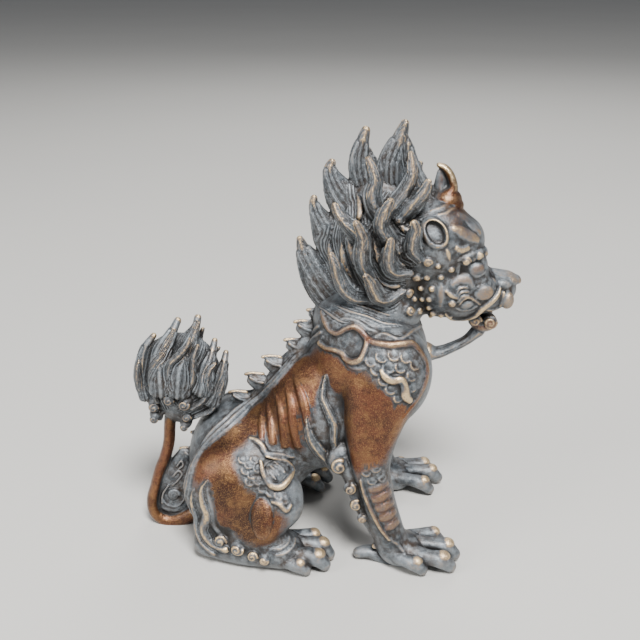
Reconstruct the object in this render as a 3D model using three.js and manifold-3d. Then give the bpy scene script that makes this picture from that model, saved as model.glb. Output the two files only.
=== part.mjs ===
// Bronze qilin statue: a seated, maned beast with a flame mane, a ridge of fins down its back,
// a flame tail and a beard that props its chin on its chest. It is one casting, so it is one solid.
// Millimetres, +Z up. X runs forward to the muzzle and Y to the animal's left. The ground is Z = 0.
import * as THREE from "three";
import { SimplifyModifier } from "three/addons/modifiers/SimplifyModifier.js";
import { mergeVertices } from "three/addons/utils/BufferGeometryUtils.js";
import Module from "manifold-3d";

const wasm = await Module();
wasm.setup();

// Driving dimensions. Every place below is laid out for a statue 200 high and is scaled by HEIGHT.
const HEIGHT = 200;
const LAYOUT_HEIGHT = 200;
const SCALE = HEIGHT / LAYOUT_HEIGHT;
const LAYOUT_CENTRE_X = 0.6; // middle of the layout's length, which becomes the origin
const BELOW_GROUND = 30; // depth of the block that cuts the soles flat

// How finely round shapes are faceted, as [round, rise] for balls and sides for swept shapes.
const BROAD = [14, 9];
const MIDDLING = [9, 6];
const SMALL = [6, 4];
const STRAND_SIDES = 4;
const WELD = 0.005;
const CORNERS = 4700; // corner points left in the whole casting, about half its number of facets

const point = (x, y, z) => new THREE.Vector3(x, y, z);

// A closed three.js geometry as a solid that can be joined and cut.
function solidOf(geometry) {
  const bare = geometry.clone();
  bare.deleteAttribute("normal");
  bare.deleteAttribute("uv");
  const merged = mergeVertices(bare, 1e-3);
  return new wasm.Manifold(
    new wasm.Mesh({
      numProp: 3,
      vertProperties: new Float32Array(merged.attributes.position.array),
      triVerts: new Uint32Array(merged.index.array),
    }),
  );
}

const pieces = [];
const add = (geometry) => pieces.push(solidOf(geometry));

// The same shape on the animal's right and, mirrored, on its left.
function addPair(geometry) {
  const left = geometry.clone();
  left.scale(1, -1, 1);
  const { index } = left;
  for (let i = 0; i < index.count; i += 3) {
    const [second, third] = [index.getX(i + 1), index.getX(i + 2)];
    index.setX(i + 1, third);
    index.setX(i + 2, second);
  }
  add(geometry);
  add(left);
}

// An ellipsoid. lean tips its top forward, in degrees.
function ellipsoid(centre, radii, lean = 0, facets = BROAD) {
  const geometry = new THREE.SphereGeometry(1, ...facets);
  geometry.rotateX(Math.PI / 2);
  geometry.scale(...radii);
  geometry.rotateY(THREE.MathUtils.degToRad(lean));
  geometry.translate(...centre);
  return geometry;
}
const ball = (...shape) => add(ellipsoid(...shape));
const pairOfBalls = (...shape) => addPair(ellipsoid(...shape));

// Ellipsoids that make up the body and carry the smaller shapes on their sides.
const masses = [];
function mass(centre, radii, lean = 0, facets = BROAD) {
  masses.push({ centre, radii, lean: THREE.MathUtils.degToRad(lean) });
  if (centre[1] === 0) {
    ball(centre, radii, lean, facets);
  } else {
    pairOfBalls(centre, radii, lean, facets);
  }
}

// How far out from the middle plane the side of the body is, at a place in the side view.
function flankAt(x, z) {
  const reach = masses.map(({ centre, radii, lean }) => {
    const [dx, dz] = [x - centre[0], z - centre[2]];
    const along = dx * Math.cos(lean) - dz * Math.sin(lean);
    const up = dx * Math.sin(lean) + dz * Math.cos(lean);
    const inside = 1 - (along / radii[0]) ** 2 - (up / radii[2]) ** 2;
    return inside > 0 ? centre[1] + radii[1] * Math.sqrt(inside) : 0;
  });
  return Math.max(...reach);
}

// Low bosses seated on both flanks. Each place is [x, z] in the side view.
function bosses(places, radii, proud = 0) {
  for (const [x, z] of places) {
    pairOfBalls([x, flankAt(x, z) + proud, z], radii, 0, SMALL);
  }
}

// A swept limb or strand. widths holds [radius across the side view, radius along Y] for each
// point of the path, and the section follows them smoothly.
function swept(path, widths, sides, steps) {
  const curve = new THREE.CatmullRomCurve3(path.map((p) => point(...p)));
  const geometry = new THREE.CylinderGeometry(1, 1, 1, sides, steps);
  const position = geometry.attributes.position;
  const sideways = point(0, 1, 0);
  const vertex = point(0, 0, 0);
  for (let i = 0; i < position.count; i++) {
    vertex.fromBufferAttribute(position, i);
    const along = THREE.MathUtils.clamp(vertex.y + 0.5, 0, 1);
    const centre = curve.getPoint(along);
    const forward = curve.getTangent(along);
    const up = sideways.clone().cross(forward).normalize();
    const across = up.clone().cross(forward).normalize();
    const place = along * (widths.length - 1);
    const low = Math.min(Math.floor(place), widths.length - 2);
    const share = place - low;
    const [inPlane, lateral] = [0, 1].map((k) =>
      THREE.MathUtils.lerp(widths[low][k], widths[low + 1][k], share),
    );
    const placed = centre
      .addScaledVector(up, vertex.x * inPlane)
      .addScaledVector(across, vertex.z * lateral);
    position.setXYZ(i, placed.x, placed.y, placed.z);
  }
  return geometry;
}
const sweep = (...shape) => add(swept(...shape));
const pairOfSweeps = (...shape) => addPair(swept(...shape));

// A flame tongue from root to tip. sway bends its middle to the side and back, as an S.
const TONGUE_TAPER = [1, 1.05, 0.9, 0.62, 0.26];
function tongue(root, tip, width, sway = 0, depth = width) {
  const [a, b] = [point(...root), point(...tip)];
  const run = b.clone().sub(a);
  const aside = point(-run.z, 0, run.x).normalize();
  const path = [0, 0.3, 0.62, 1].map((along, i) => {
    const swing = [0, 1, -0.35, 0][i] * sway;
    return a.clone().addScaledVector(run, along).addScaledVector(aside, swing).toArray();
  });
  const widths = TONGUE_TAPER.map((share) => [width * share, depth * share]);
  return swept(path, widths, STRAND_SIDES, 5);
}

// Torso, seated upright: the barrel leans forward over the haunches.
const SPINE_LEAN = 38; // degrees from upright, of the line from rump to withers
function torso() {
  mass([-44, 0, 28], [20, 25, 25], SPINE_LEAN);
  mass([-23, 0, 46], [24, 29, 30], SPINE_LEAN);
  mass([1, 0, 66], [28, 30, 34], SPINE_LEAN);
  mass([26, 0, 90], [29, 31, 31], 10);
  mass([23, 0, 108], [25, 27, 19], 15);
}

// Haunches, folded hind legs and long hind feet that lie flat.
function hindLegs() {
  mass([-35, 21, 42], [27, 20, 32], 14);
  mass([-18, 31, 34], [11, 10, 13], 0, MIDDLING);
  pairOfSweeps([[-17, 35, 32], [-26, 37, 22], [-38, 34, 11]], [[10, 9], [9, 8], [7, 7]], 6, 3);
  pairOfSweeps([[-54, 28, 7], [-36, 33, 6], [-18, 34, 8]], [[6, 6], [7, 8], [9, 11]], 6, 3);
  paw([-19, 34, 6], 12);
}

// Straight front legs under teardrop shoulders, each with plates down its shin.
const SHIN = [[21, 34, 54], [25, 35, 36], [33, 33, 12]];
const SHIN_PLATES = 5;
function frontLegs() {
  mass([29, 20, 90], [21, 17, 25], 10);
  pairOfSweeps([[27, 26, 86], [23, 31, 66], [20, 34, 50]], [[17, 12], [12, 10], [8.5, 8]], 8, 3);
  pairOfSweeps(SHIN, [[8, 8], [7.5, 7.5], [8, 8]], 8, 3);
  const shin = new THREE.CatmullRomCurve3(SHIN.map((p) => point(...p)));
  for (let i = 0; i < SHIN_PLATES; i++) {
    const at = shin.getPoint(0.14 + (0.62 * i) / (SHIN_PLATES - 1));
    pairOfBalls([at.x + 5, at.y - 0.5, at.z], [4.5, 5.5, 3.2], -20, SMALL);
  }
  paw([38, 32, 6], 12);
  pairOfSweeps([[34, 31, 5], [22, 29, 5], [11, 27, 3]], [[5, 6], [4.5, 5], [2.2, 2.5]], 5, 3);
}

// A paw: a pad and four blunt toes fanned outwards.
const TOES = [
  { turn: 42, reach: 17 },
  { turn: 20, reach: 23 },
  { turn: 0, reach: 25 },
  { turn: -24, reach: 21 },
];
const TOE_WIDTHS = [[4.5, 4.5], [4.8, 4.5], [2.4, 2.8]];
function paw([x, y, z], width) {
  pairOfBalls([x + 2, y, z], [12, width, 7], 8, MIDDLING);
  for (const { turn, reach } of TOES) {
    const angle = THREE.MathUtils.degToRad(turn);
    const toe = (share, lift) => [
      x + reach * share * Math.cos(angle),
      y + reach * share * Math.sin(angle),
      lift,
    ];
    pairOfSweeps([toe(0.3, z), toe(0.78, z - 1), toe(1, 1.8)], TOE_WIDTHS, 5, 3);
  }
}

// Head: skull, forehead, brows, cheeks, muzzle, jaw, ears and the single horn.
function head() {
  mass([48, 0, 147], [20, 22, 22]);
  ball([59, 0, 148], [12, 17, 12], -20, MIDDLING);
  mass([58, 0, 126], [18, 18, 15], 0, [10, 6]);
  sweep([[64, 0, 126], [76, 0, 125], [85, 0, 123]], [[11, 15], [8, 12], [6, 9]], 8, 3);
  ball([82.5, 0, 127], [5.5, 9.5, 4.5], 0, MIDDLING);
  sweep([[56, 0, 115], [70, 0, 114], [82, 0, 116]], [[7, 14], [5, 11], [4, 7]], 7, 3);
  pairOfBalls([70, 11, 128], [5.5, 4.5, 5], 0, SMALL);
  pairOfBalls([66, 14, 138], [5, 4.5, 4.5], 0, [7, 5]);
  pairOfSweeps([[58, 19, 144], [66, 17, 146], [73, 8, 145]], [[3, 3], [3.6, 3.4], [3.4, 3.6]], 5, 3);
  pairOfBalls([61, 14, 152], [7, 5, 3.6], 18, SMALL);
  pairOfBalls([46, 24, 156], [6.5, 7, 9], -14, MIDDLING);
  sweep([[55, 0, 158], [58, 0, 170], [51.5, 0, 180]], [[7, 7.5], [5, 5.5], [1, 1.2]], 6, 5);
}

// Beads of curled beard over the cheek and jaw, and the bar from the chin ball to the chest.
const BEARD_BEADS = [[41, 140], [47, 140], [53, 139], [39, 132], [46, 132], [39, 124], [46, 122]];
function beard() {
  bosses(BEARD_BEADS, [3.6, 3.2, 3.4]);
  ball([76, 0, 107], [7.5, 7.5, 6], 0, MIDDLING);
  sweep([[51, 0, 88], [63, 0, 92], [76, 0, 103]], [[5, 5.5], [2.6, 4.5], [2.6, 4]], 6, 4);
}

// Mane: a full ruff behind the face with flames in three rows, one on the crest and two a side.
// Each flame is given by its root and tip in the side view, its width and how much it sways.
const CREST_FLAMES = [
  { root: [37, 160], tip: [36.5, 200], width: 9.5, sway: 3 },
  { root: [24, 156], tip: [19, 196.5], width: 8.5, sway: 4 },
  { root: [17, 147], tip: [5.5, 182.5], width: 8, sway: 4 },
  { root: [13, 135], tip: [-2, 166.5], width: 8, sway: 4 },
  { root: [14, 117], tip: [-9, 149], width: 8.5, sway: 6 },
];
const MIDDLE_FLAMES = [
  { root: [40, 156], tip: [37, 188], width: 5.5, sway: -3 },
  { root: [27, 152], tip: [19, 186], width: 5.5, sway: -3 },
  { root: [40, 152], tip: [46, 177], width: 5.5, sway: 0 },
  { root: [20, 140], tip: [6, 167], width: 5.5, sway: 2 },
  { root: [18, 122], tip: [2, 147], width: 5.5, sway: 4 },
];
const OUTER_FLAMES = [
  { root: [30, 146], tip: [29, 170], width: 4.8, sway: 2 },
  { root: [22, 134], tip: [15, 162], width: 4.8, sway: -2 },
  { root: [33, 133], tip: [29, 156], width: 4.5, sway: 5 },
  { root: [29, 121], tip: [16, 142], width: 4.8, sway: 5 },
];
function mane() {
  mass([27, 0, 142], [25, 27, 34]);
  for (const { root, tip, width, sway } of CREST_FLAMES) {
    add(tongue([root[0], 0, root[1]], [tip[0], 0, tip[1]], width, sway, width * 0.85));
  }
  const rows = [
    { flames: MIDDLE_FLAMES, rootOut: 13, tipOut: 14 },
    { flames: OUTER_FLAMES, rootOut: 23, tipOut: 27 },
  ];
  for (const { flames, rootOut, tipOut } of rows) {
    for (const { root, tip, width, sway } of flames) {
      addPair(tongue([root[0], rootOut, root[1]], [tip[0], tipOut, tip[1]], width, sway));
    }
  }
}

// Fins down the back: each rises from the spine and its blunt tip points backwards.
const SPINE = [[2, 0, 112], [-9, 0, 98], [-25, 0, 79], [-42, 0, 61], [-56, 0, 44], [-62, 0, 27]];
const FINS = 9;
const FIN_THICKNESS = 5;
function backRidge() {
  sweep(SPINE, [[5, 4.5], [4, 3.5]], 6, 10);
  const spine = new THREE.CatmullRomCurve3(SPINE.map((p) => point(...p)));
  for (let i = 0; i < FINS; i++) {
    const along = i / FINS;
    const root = spine.getPointAt(along);
    const size = THREE.MathUtils.lerp(1, 0.62, along);
    const outline = new THREE.Shape();
    outline.moveTo(7 * size, 5 * size);
    outline.lineTo(-6 * size, 7.5 * size);
    outline.quadraticCurveTo(-11 * size, 6.5 * size, -8 * size, 3 * size);
    outline.lineTo(-3 * size, -7 * size);
    outline.lineTo(6 * size, -8 * size);
    outline.closePath();
    const fin = new THREE.ExtrudeGeometry(outline, {
      depth: FIN_THICKNESS * size,
      bevelEnabled: false,
      curveSegments: 2,
    });
    fin.rotateX(Math.PI / 2);
    fin.translate(root.x, (FIN_THICKNESS * size) / 2, root.z);
    add(fin);
  }
}

// Tail: it drops from the rump, turns up off the ground and opens into a fan of flames.
const TAIL_FLAMES = [
  { root: [-79, 72], tip: [-85.5, 92], width: 4.5, sway: 2, out: 0 },
  { root: [-74, 76], tip: [-77, 103], width: 5.5, sway: 3, out: 0 },
  { root: [-67, 78], tip: [-64, 110.5], width: 6, sway: 3, out: 0 },
  { root: [-60, 78], tip: [-55, 112.5], width: 5.5, sway: -2, out: 0 },
  { root: [-56, 74], tip: [-45, 101], width: 5, sway: -3, out: 0 },
  { root: [-54, 70], tip: [-39, 93], width: 5, sway: -4, out: 0 },
  { root: [-72, 72], tip: [-74, 96], width: 3.8, sway: 2, out: 9 },
  { root: [-65, 72], tip: [-60, 102], width: 3.8, sway: 3, out: 10 },
  { root: [-57, 70], tip: [-50, 94], width: 3.8, sway: -2, out: 10 },
];
const TAIL_STEM = [
  [-56, 0, 12], [-68, 0, 5], [-79, 0, 6.5], [-82.5, 0, 18], [-77, 0, 34], [-72, 0, 50], [-71, 0, 66],
];
const TAIL_CURLS = [[-78, 66], [-70, 70], [-62, 68]];
function tail() {
  sweep(TAIL_STEM, [[6, 6], [4, 4.5], [3.6, 4], [3.6, 4], [3.4, 3.8], [3.6, 4]], 6, 14);
  sweep([[-68, 0, 6], [-70, 0, 28], [-66, 0, 52]], [[9, 2.4], [9.5, 2.4], [7, 2.4]], 6, 3);
  mass([-65, 0, 80], [17, 11, 17], -8, MIDDLING);
  for (const { root, tip, width, sway, out } of TAIL_FLAMES) {
    const flame = tongue([root[0], out * 0.8, root[1]], [tip[0], out, tip[1]], width, sway);
    if (out === 0) {
      add(flame);
    } else {
      addPair(flame);
    }
  }
  bosses(TAIL_CURLS, [4.4, 3.6, 4.4]);
}

// A raised strand that lies on the flank along a route given in the side view.
function strand(route, radius, proud = 0) {
  const path = route.map(([x, z]) => [x, flankAt(x, z) + proud, z]);
  const widths = [[radius * 0.5, radius * 0.6], [radius, radius], [radius * 0.5, radius * 0.6]];
  pairOfSweeps(path, widths, STRAND_SIDES, Math.max(3, route.length));
}

// Ribs, the cloud ribbon of the collar, and the flames and curls at elbow and heel.
const RIBS = 5;
const LEG_CURLS = [[8, 36.5, 54], [13, 38.5, 43], [19, 39.5, 30]];
const FOOT_CURLS = [[-45, 34, 11], [-36, 38, 8], [-27, 41, 5]];
function relief() {
  for (let i = 0; i < RIBS; i++) {
    const along = i / (RIBS - 1);
    const top = [THREE.MathUtils.lerp(-29, -7, along), THREE.MathUtils.lerp(73, 95, along)];
    const low = [THREE.MathUtils.lerp(-27, -1, along), THREE.MathUtils.lerp(66, 57, along)];
    strand([top, [(top[0] + low[0]) / 2, (top[1] + low[1]) / 2], low], 2.8, -0.6);
  }
  strand([[12, 102], [20, 94], [27, 99], [25, 108]], 2.4);
  strand([[27, 104], [40, 102], [50, 98], [50, 84]], 2.4, 0.6);
  strand([[-3, 114], [8, 108], [21, 104], [33, 103], [44, 108]], 2.4, 0.6);
  strand([[8, 53], [2, 62], [-4, 71], [-7, 84]], 3.2, 1);
  strand([[9, 55], [7, 68], [3, 82], [3, 97]], 3.2, 1);
  LEG_CURLS.forEach((place) => pairOfBalls(place, [4.6, 4, 4.6], 0, SMALL));
  pairOfSweeps([[9, 36, 54], [15, 37, 38], [24, 36, 16]], [[4, 4], [5, 4.5], [4, 4]], 5, 3);
  pairOfSweeps([[-50, 31, 6], [-55, 36, 20], [-54, 38, 34], [-50, 38, 48]], [[4, 3], [3, 3], [1, 1.5]], 4, 5);
  pairOfBalls([-19, 38, 54], [8, 4, 9], -30, SMALL);
  FOOT_CURLS.forEach((place) => pairOfBalls(place, [4.2, 3.6, 4.2], 0, SMALL));
}

// Everything below the ground is cut away, which leaves flat soles.
function flatSoles(statue) {
  const block = new THREE.BoxGeometry(400, 400, BELOW_GROUND);
  block.translate(0, 0, -BELOW_GROUND / 2);
  return statue.subtract(solidOf(block));
}

function geometryOf(solid) {
  const { vertProperties, triVerts, numProp } = solid.getMesh();
  const count = vertProperties.length / numProp;
  const places = new Float32Array(3 * count);
  for (let i = 0; i < count; i++) {
    places.set(vertProperties.subarray(i * numProp, i * numProp + 3), 3 * i);
  }
  const geometry = new THREE.BufferGeometry();
  geometry.setAttribute("position", new THREE.BufferAttribute(places, 3));
  geometry.setIndex(new THREE.BufferAttribute(new Uint32Array(triVerts), 1));
  return geometry;
}

torso();
hindLegs();
frontLegs();
head();
beard();
mane();
backRidge();
tail();
relief();

// The joined solid without the small sealed pockets left where round shapes meet.
function withoutPockets(statue) {
  return statue.decompose().reduce((best, body) => (body.volume() > best.volume() ? body : best));
}

const joined = pieces.reduce((whole, piece) => whole.add(piece));
const casting = withoutPockets(flatSoles(joined));
const joinedGeometry = geometryOf(casting);
joinedGeometry.translate(-LAYOUT_CENTRE_X, 0, 0);
joinedGeometry.scale(SCALE, SCALE, SCALE);

// Whether every edge is shared by exactly two facets, so the surface is closed with no pinches.
function isClosed({ index }) {
  const uses = new Map();
  for (let i = 0; i < index.count; i++) {
    const next = i % 3 === 2 ? i - 2 : i + 1;
    const ends = [index.getX(i), index.getX(next)].sort((a, b) => a - b).join();
    uses.set(ends, (uses.get(ends) ?? 0) + 1);
  }
  return [...uses.values()].every((count) => count === 2);
}

// Corners closer than WELD become one, and the facets that this closes up are left out.
function welded(geometry) {
  const merged = mergeVertices(geometry, WELD);
  const { index } = merged;
  const kept = [];
  for (let i = 0; i < index.count; i += 3) {
    const facet = [index.getX(i), index.getX(i + 1), index.getX(i + 2)];
    if (new Set(facet).size === 3) {
      kept.push(...facet);
    }
  }
  merged.setIndex(kept);
  merged.computeVertexNormals();
  return merged;
}

// Facets that hardly change the shape, mostly slivers where the joined shapes meet, are collapsed
// in stages until few enough corners are left. Each stage keeps the surface cleanly closed.
const STAGES = [0.85, 0.88, 0.91, 0.94, 0.96, 0.98, 0.99];
async function coarser(fine) {
  let surface = fine;
  while (surface.attributes.position.count > CORNERS) {
    const corners = surface.attributes.position.count;
    let next = null;
    for (const share of STAGES) {
      const left = Math.max(CORNERS - 1, Math.round(share * corners));
      const tried = await new SimplifyModifier().modify(surface, corners - left);
      if (isClosed(tried)) {
        next = tried;
        break;
      }
    }
    if (next === null) {
      throw new Error("the surface can't be made coarser and stay closed");
    }
    surface = next;
  }
  return surface;
}
const geometry = await coarser(welded(joinedGeometry));
geometry.computeVertexNormals();

const bronze = new THREE.MeshStandardMaterial({
  color: 0x6a4c38,
  roughness: 0.5,
  metalness: 0.8,
});
const qilin = new THREE.Mesh(geometry, bronze);
qilin.name = "qilin";

const statue = new THREE.Group();
statue.add(qilin);
export default statue;
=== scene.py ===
"""Looks of the cast bronze qilin: the carving modelled as a wax, cast and patinated.

Lengths in the wax are millimetres in the statue's layout, X forward, Y to the animal's left, Z up,
for a statue 200 high. Carving is placed on its right side and mirrored. The casting step turns
lengths into metres in the frame of the CAD.
"""

import math

import bpy
import numpy as np
import openvdb
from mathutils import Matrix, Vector
from mathutils.bvhtree import BVHTree
from mathutils.kdtree import KDTree


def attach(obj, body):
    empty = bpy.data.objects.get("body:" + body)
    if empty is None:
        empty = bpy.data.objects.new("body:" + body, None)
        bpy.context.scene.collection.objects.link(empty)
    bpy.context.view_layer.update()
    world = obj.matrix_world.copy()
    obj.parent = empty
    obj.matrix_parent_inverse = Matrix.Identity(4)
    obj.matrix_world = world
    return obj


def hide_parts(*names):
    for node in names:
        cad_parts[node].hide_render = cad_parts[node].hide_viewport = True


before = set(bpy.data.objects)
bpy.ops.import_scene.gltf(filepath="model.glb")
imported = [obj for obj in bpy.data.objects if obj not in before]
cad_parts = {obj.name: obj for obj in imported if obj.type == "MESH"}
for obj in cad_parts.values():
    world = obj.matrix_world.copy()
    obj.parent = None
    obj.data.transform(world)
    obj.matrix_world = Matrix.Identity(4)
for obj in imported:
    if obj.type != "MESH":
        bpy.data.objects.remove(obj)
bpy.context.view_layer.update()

bl_info = {
    "name": "Bronze qilin",
    "version": (1, 0, 0),
    "blender": (4, 5, 0),
    "location": "View3D > Sidebar > Qilin",
    "description": "Models, casts and patinates a seated bronze qilin",
    "category": "Add Mesh",
}

MM = 0.001
LAYOUT_CENTRE_X = 0.6  # middle of the layout's length, which becomes the origin
OUTWARD = np.array([0.0, -1.0, 0.0])  # away from the middle plane, on the right side
FORWARD = np.array([1.0, 0.0, 0.0])
UP = np.array([0.0, 0.0, 1.0])


def linear(value):
    """An sRGB hex colour such as '#7a4a2c' as linear red, green, blue and alpha."""
    parts = [int(value[i : i + 2], 16) / 255.0 for i in (1, 3, 5)]
    return [p / 12.92 if p <= 0.04045 else ((p + 0.055) / 1.055) ** 2.4 for p in parts] + [1.0]


def number_property(name, description, value, unit="NONE"):
    return bpy.props.FloatProperty(name=name, description=description, default=value, min=0.0, unit=unit)


def colour_property(name, description, value):
    return bpy.props.FloatVectorProperty(
        name=name, description=description, subtype="COLOR", size=4, default=linear(value)
    )


class QilinSizes(bpy.types.PropertyGroup):
    scale: number_property("Scale", "Size against a statue 200 mm high", 1.0)
    flesh_grain: number_property("Flesh grain", "Grain of the smooth body under the carving, mm", 1.0)
    head_grain: number_property("Head grain", "Grain at which the head's wax is joined, mm", 0.42)
    body_grain: number_property("Body grain", "Grain at which the body's wax is joined, mm", 0.45)
    tail_grain: number_property("Tail grain", "Grain at which the tail's wax is joined, mm", 0.36)
    triangles: bpy.props.IntProperty(
        name="Triangles", description="Triangles kept in each part", default=196000, max=199000
    )


class QilinColours(bpy.types.PropertyGroup):
    brown: colour_property("Brown patina", "Smooth handled skin", "#673d2d")
    brown_deep: colour_property("Deep brown", "Darker clouds in the brown", "#3e2820")
    fleck: colour_property("Golden fleck", "Bare metal showing through the brown", "#a1794c")
    grey: colour_property("Grey patina", "Dull bloom in the carving", "#3e454b")
    grey_warm: colour_property("Warm grey", "Brown tint in the bloom", "#3e342d")
    # The pale bloom is random mottling and also painted highlight on raised carving and strand crests.
    pale_bloom_and_highlight: colour_property("Pale bloom", "Bloom on raised carving", "#8d9499")
    # Worn and rubbed bronze are partly real wear and partly painted highlight on raised edges and crests.
    worn_and_highlight: colour_property("Worn bronze", "Patina thinned to brown on raised parts", "#9a7f62")
    bright_rub_and_highlight: colour_property("Rubbed bronze", "Bright metal on raised edges", "#dcc398")
    # Grime is old dirt and painted shade both: it darkens hollows, closed-in places and strand grooves.
    grime_and_painted_shade: colour_property("Grime", "Old dirt in the hollows", "#171310")


class QilinStage(bpy.types.PropertyGroup):
    key: number_property("Key light", "Power of the soft light over the shoulder", 92.0, "POWER")
    fill: number_property("Fill light", "Power of the light from the tail's side", 14.0, "POWER")
    back: number_property("Back light", "Power of the light from behind", 10.0, "POWER")
    sky: number_property("Even light", "Strength of the light from all round", 0.27)
    floor: colour_property("Floor", "Plain pale floor", "#bfbdb8")


# Wax modelling

WAX = {"head": [], "body": [], "tail": []}  # closed shapes of each part
FLESH = {}  # the smooth form of each part: its points, triangles, and a tree that finds places on it
FLOWS = {"head": [], "body": [], "tail": []}  # courses that strands of hair follow
MODEL = {"part": "body"}  # the part that shapes are now added to


def unit(vectors):
    return vectors / np.maximum(np.linalg.norm(vectors, axis=-1, keepdims=True), 1e-9)


def ramp(values, low, high):
    share = np.clip((values - low) / (high - low), 0.0, 1.0)
    return share * share * (3.0 - 2.0 * share)


def through(points, count):
    """Places spread along a smooth curve through the given points."""
    given = np.array(points, float)
    if given.ndim == 1:
        given = given[:, None]
    last = len(given) - 1
    place = np.linspace(0.0, last, count)
    low = np.clip(place.astype(int), 0, last - 1)
    share = (place - low)[:, None]
    ends = np.vstack([2 * given[0] - given[1], given, 2 * given[-1] - given[-2]])
    before, start, end, after = ends[low], ends[low + 1], ends[low + 2], ends[low + 3]
    line = (end - before) * share
    square = (2 * before - 5 * start + 4 * end - after) * share**2
    cube = (3 * start - before - 3 * end + after) * share**3
    return 0.5 * (2 * start + line + square + cube)


def marks(text, y=None):
    """Marks in the layout, 'x y z' and a comma for each, or 'x z' where all have the same y. What
    follows in a mark is its size."""
    rows = [[float(number) for number in row.split()] for row in text.split(",")]
    return [tuple(row) if y is None else (row[0], y, *row[1:]) for row in rows]


def put(points, triangles, rub=0.0, bare=0.0, hair=0.0, pair=True):
    """Keeps a closed shape of wax, and its mirror image on the other side."""
    count = len(points)
    finish = np.empty((count, 3))
    finish[:, 0] = rub
    finish[:, 1] = bare
    finish[:, 2] = hair
    WAX[MODEL["part"]].append((np.asarray(points, float), triangles, finish))
    if pair:
        mirrored = np.asarray(points, float) * np.array([1.0, -1.0, 1.0])
        WAX[MODEL["part"]].append((mirrored, triangles[:, ::-1], finish))


def skin_of_rings(rings, around):
    """Triangles over a stack of rings with a point at each end, for points in that order."""
    i = np.arange(rings - 1)[:, None] * around
    j = np.arange(around)[None]
    k = (j + 1) % around
    a, b, c, d = (v.ravel() for v in (i + j, i + k, i + around + k, i + around + j))
    sides = np.concatenate([np.stack([a, b, c], 1), np.stack([a, c, d], 1)])
    j, k = j.ravel(), k.ravel()
    first = np.stack([np.full(around, rings * around), k, j], 1)
    low = (rings - 1) * around
    last = np.stack([np.full(around, rings * around + 1), low + j, low + k], 1)
    return np.concatenate([sides, first, last])


def tube(centre, half, out, around=18, domed=True, rub=0.0, **finish):
    """A swept strand. half holds its half width and half thickness at each place of centre."""
    centre = np.asarray(centre, float)
    half = np.asarray(half, float)
    ahead = unit(np.gradient(centre, axis=0))
    out = np.array(np.broadcast_to(out, centre.shape))
    rub = np.broadcast_to(rub, (len(centre),)).astype(float)
    if domed:
        bend = np.radians([25.0, 50.0, 72.0])
        reach = half.min(axis=1)
        start = centre[:1] - ahead[:1] * reach[0] * np.sin(bend[::-1])[:, None]
        end = centre[-1:] + ahead[-1:] * reach[-1] * np.sin(bend)[:, None]
        centre = np.vstack([start, centre, end])
        half = np.vstack([half[:1] * np.cos(bend[::-1])[:, None], half, half[-1:] * np.cos(bend)[:, None]])
        ahead = np.vstack([ahead[:1].repeat(3, 0), ahead, ahead[-1:].repeat(3, 0)])
        out = np.vstack([out[:1].repeat(3, 0), out, out[-1:].repeat(3, 0)])
        rub = np.concatenate([rub[:1].repeat(3), rub, rub[-1:].repeat(3)])
    across = unit(np.cross(ahead, out))
    up = np.cross(across, ahead)
    angle = np.linspace(0.0, 2 * math.pi, around, endpoint=False)
    width = half[:, :1] * np.cos(angle)
    rise = half[:, 1:2] * np.sin(angle)
    rings = centre[:, None] + width[..., None] * across[:, None] + rise[..., None] * up[:, None]
    points = np.vstack([rings.reshape(-1, 3), centre[:1], centre[-1:]])
    # The rubbed gold is heaviest on the strand's outer face, as wear and painted highlight.
    top = 0.35 + 0.65 * np.clip(np.sin(angle), 0.0, 1.0)
    rub = np.concatenate([(rub[:, None] * top).ravel(), [rub[0], rub[-1]]])
    put(points, skin_of_rings(len(centre), around), rub=rub, **finish)


def boss(centre, radii, axes=None, around=18, rise=12, **finish):
    """A wax ellipsoid with its own three axes."""
    axes = np.eye(3) if axes is None else np.array(axes)
    turn = np.linspace(0.0, 2 * math.pi, around, endpoint=False)
    climb = np.linspace(0.0, math.pi, rise + 1)[1:-1]
    rings = [
        (math.cos(t) * math.sin(c), math.sin(t) * math.sin(c), math.cos(c)) for c in climb for t in turn
    ]
    local = np.vstack([np.array(rings), [[0, 0, 1]], [[0, 0, -1]]]) * np.array(radii)
    points = np.asarray(centre, float) + local @ axes
    put(points, skin_of_rings(len(climb), around), **finish)


def facing(places):
    """The way out of the flesh at each place."""
    find = FLESH[MODEL["part"]]["tree"].find_nearest
    return unit(np.array([find(Vector(place))[1] for place in np.atleast_2d(places)]))


def axes_at(place):
    """Three axes on the flesh: forward, up the surface, and out."""
    out = facing(place)[0]
    forward = unit(FORWARD - out * out[0])
    return np.array([forward, np.cross(out, forward), out])


def laid(route, count, proud=0.0):
    """Places along a route on the flesh, raised by proud, with the way out at each."""
    find = FLESH[MODEL["part"]]["tree"].find_nearest
    centre = np.array([find(Vector(place))[0] for place in through(route, count)])
    centre[1:-1] = 0.25 * centre[:-2] + 0.5 * centre[1:-1] + 0.25 * centre[2:]
    outs = facing(centre)
    for _ in range(4):
        outs[1:-1] = 0.25 * outs[:-2] + 0.5 * outs[1:-1] + 0.25 * outs[2:]
    outs = unit(outs)
    return centre + outs * proud, outs


def parted(marked):
    """The places of sized marks, and their sizes."""
    return [mark[:3] for mark in marked], [mark[3] for mark in marked]


def band(route, widths=None, thick=0.8, proud=0.0, rub=0.4, flow=0, **finish):
    """A raised band laid on the flesh. Its half widths are the sizes of the marks of its route, or
    widths. flow is its number of strands."""
    if widths is None:
        route, widths = parted(route)
    count = 14 * len(route)
    centre, outs = laid(route, count, proud)
    half = np.maximum(through(widths, count), 0.25)
    tube(centre, np.hstack([half, half * thick]), outs, rub=rub, hair=1.0 if flow else 0.0, **finish)
    if flow:
        keep_flow(centre, half[:, 0], flow)


def keep_flow(centre, half, strands):
    for side in (1.0, -1.0):
        FLOWS[MODEL["part"]].append((centre * np.array([1.0, side, 1.0]), half, strands))


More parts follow.
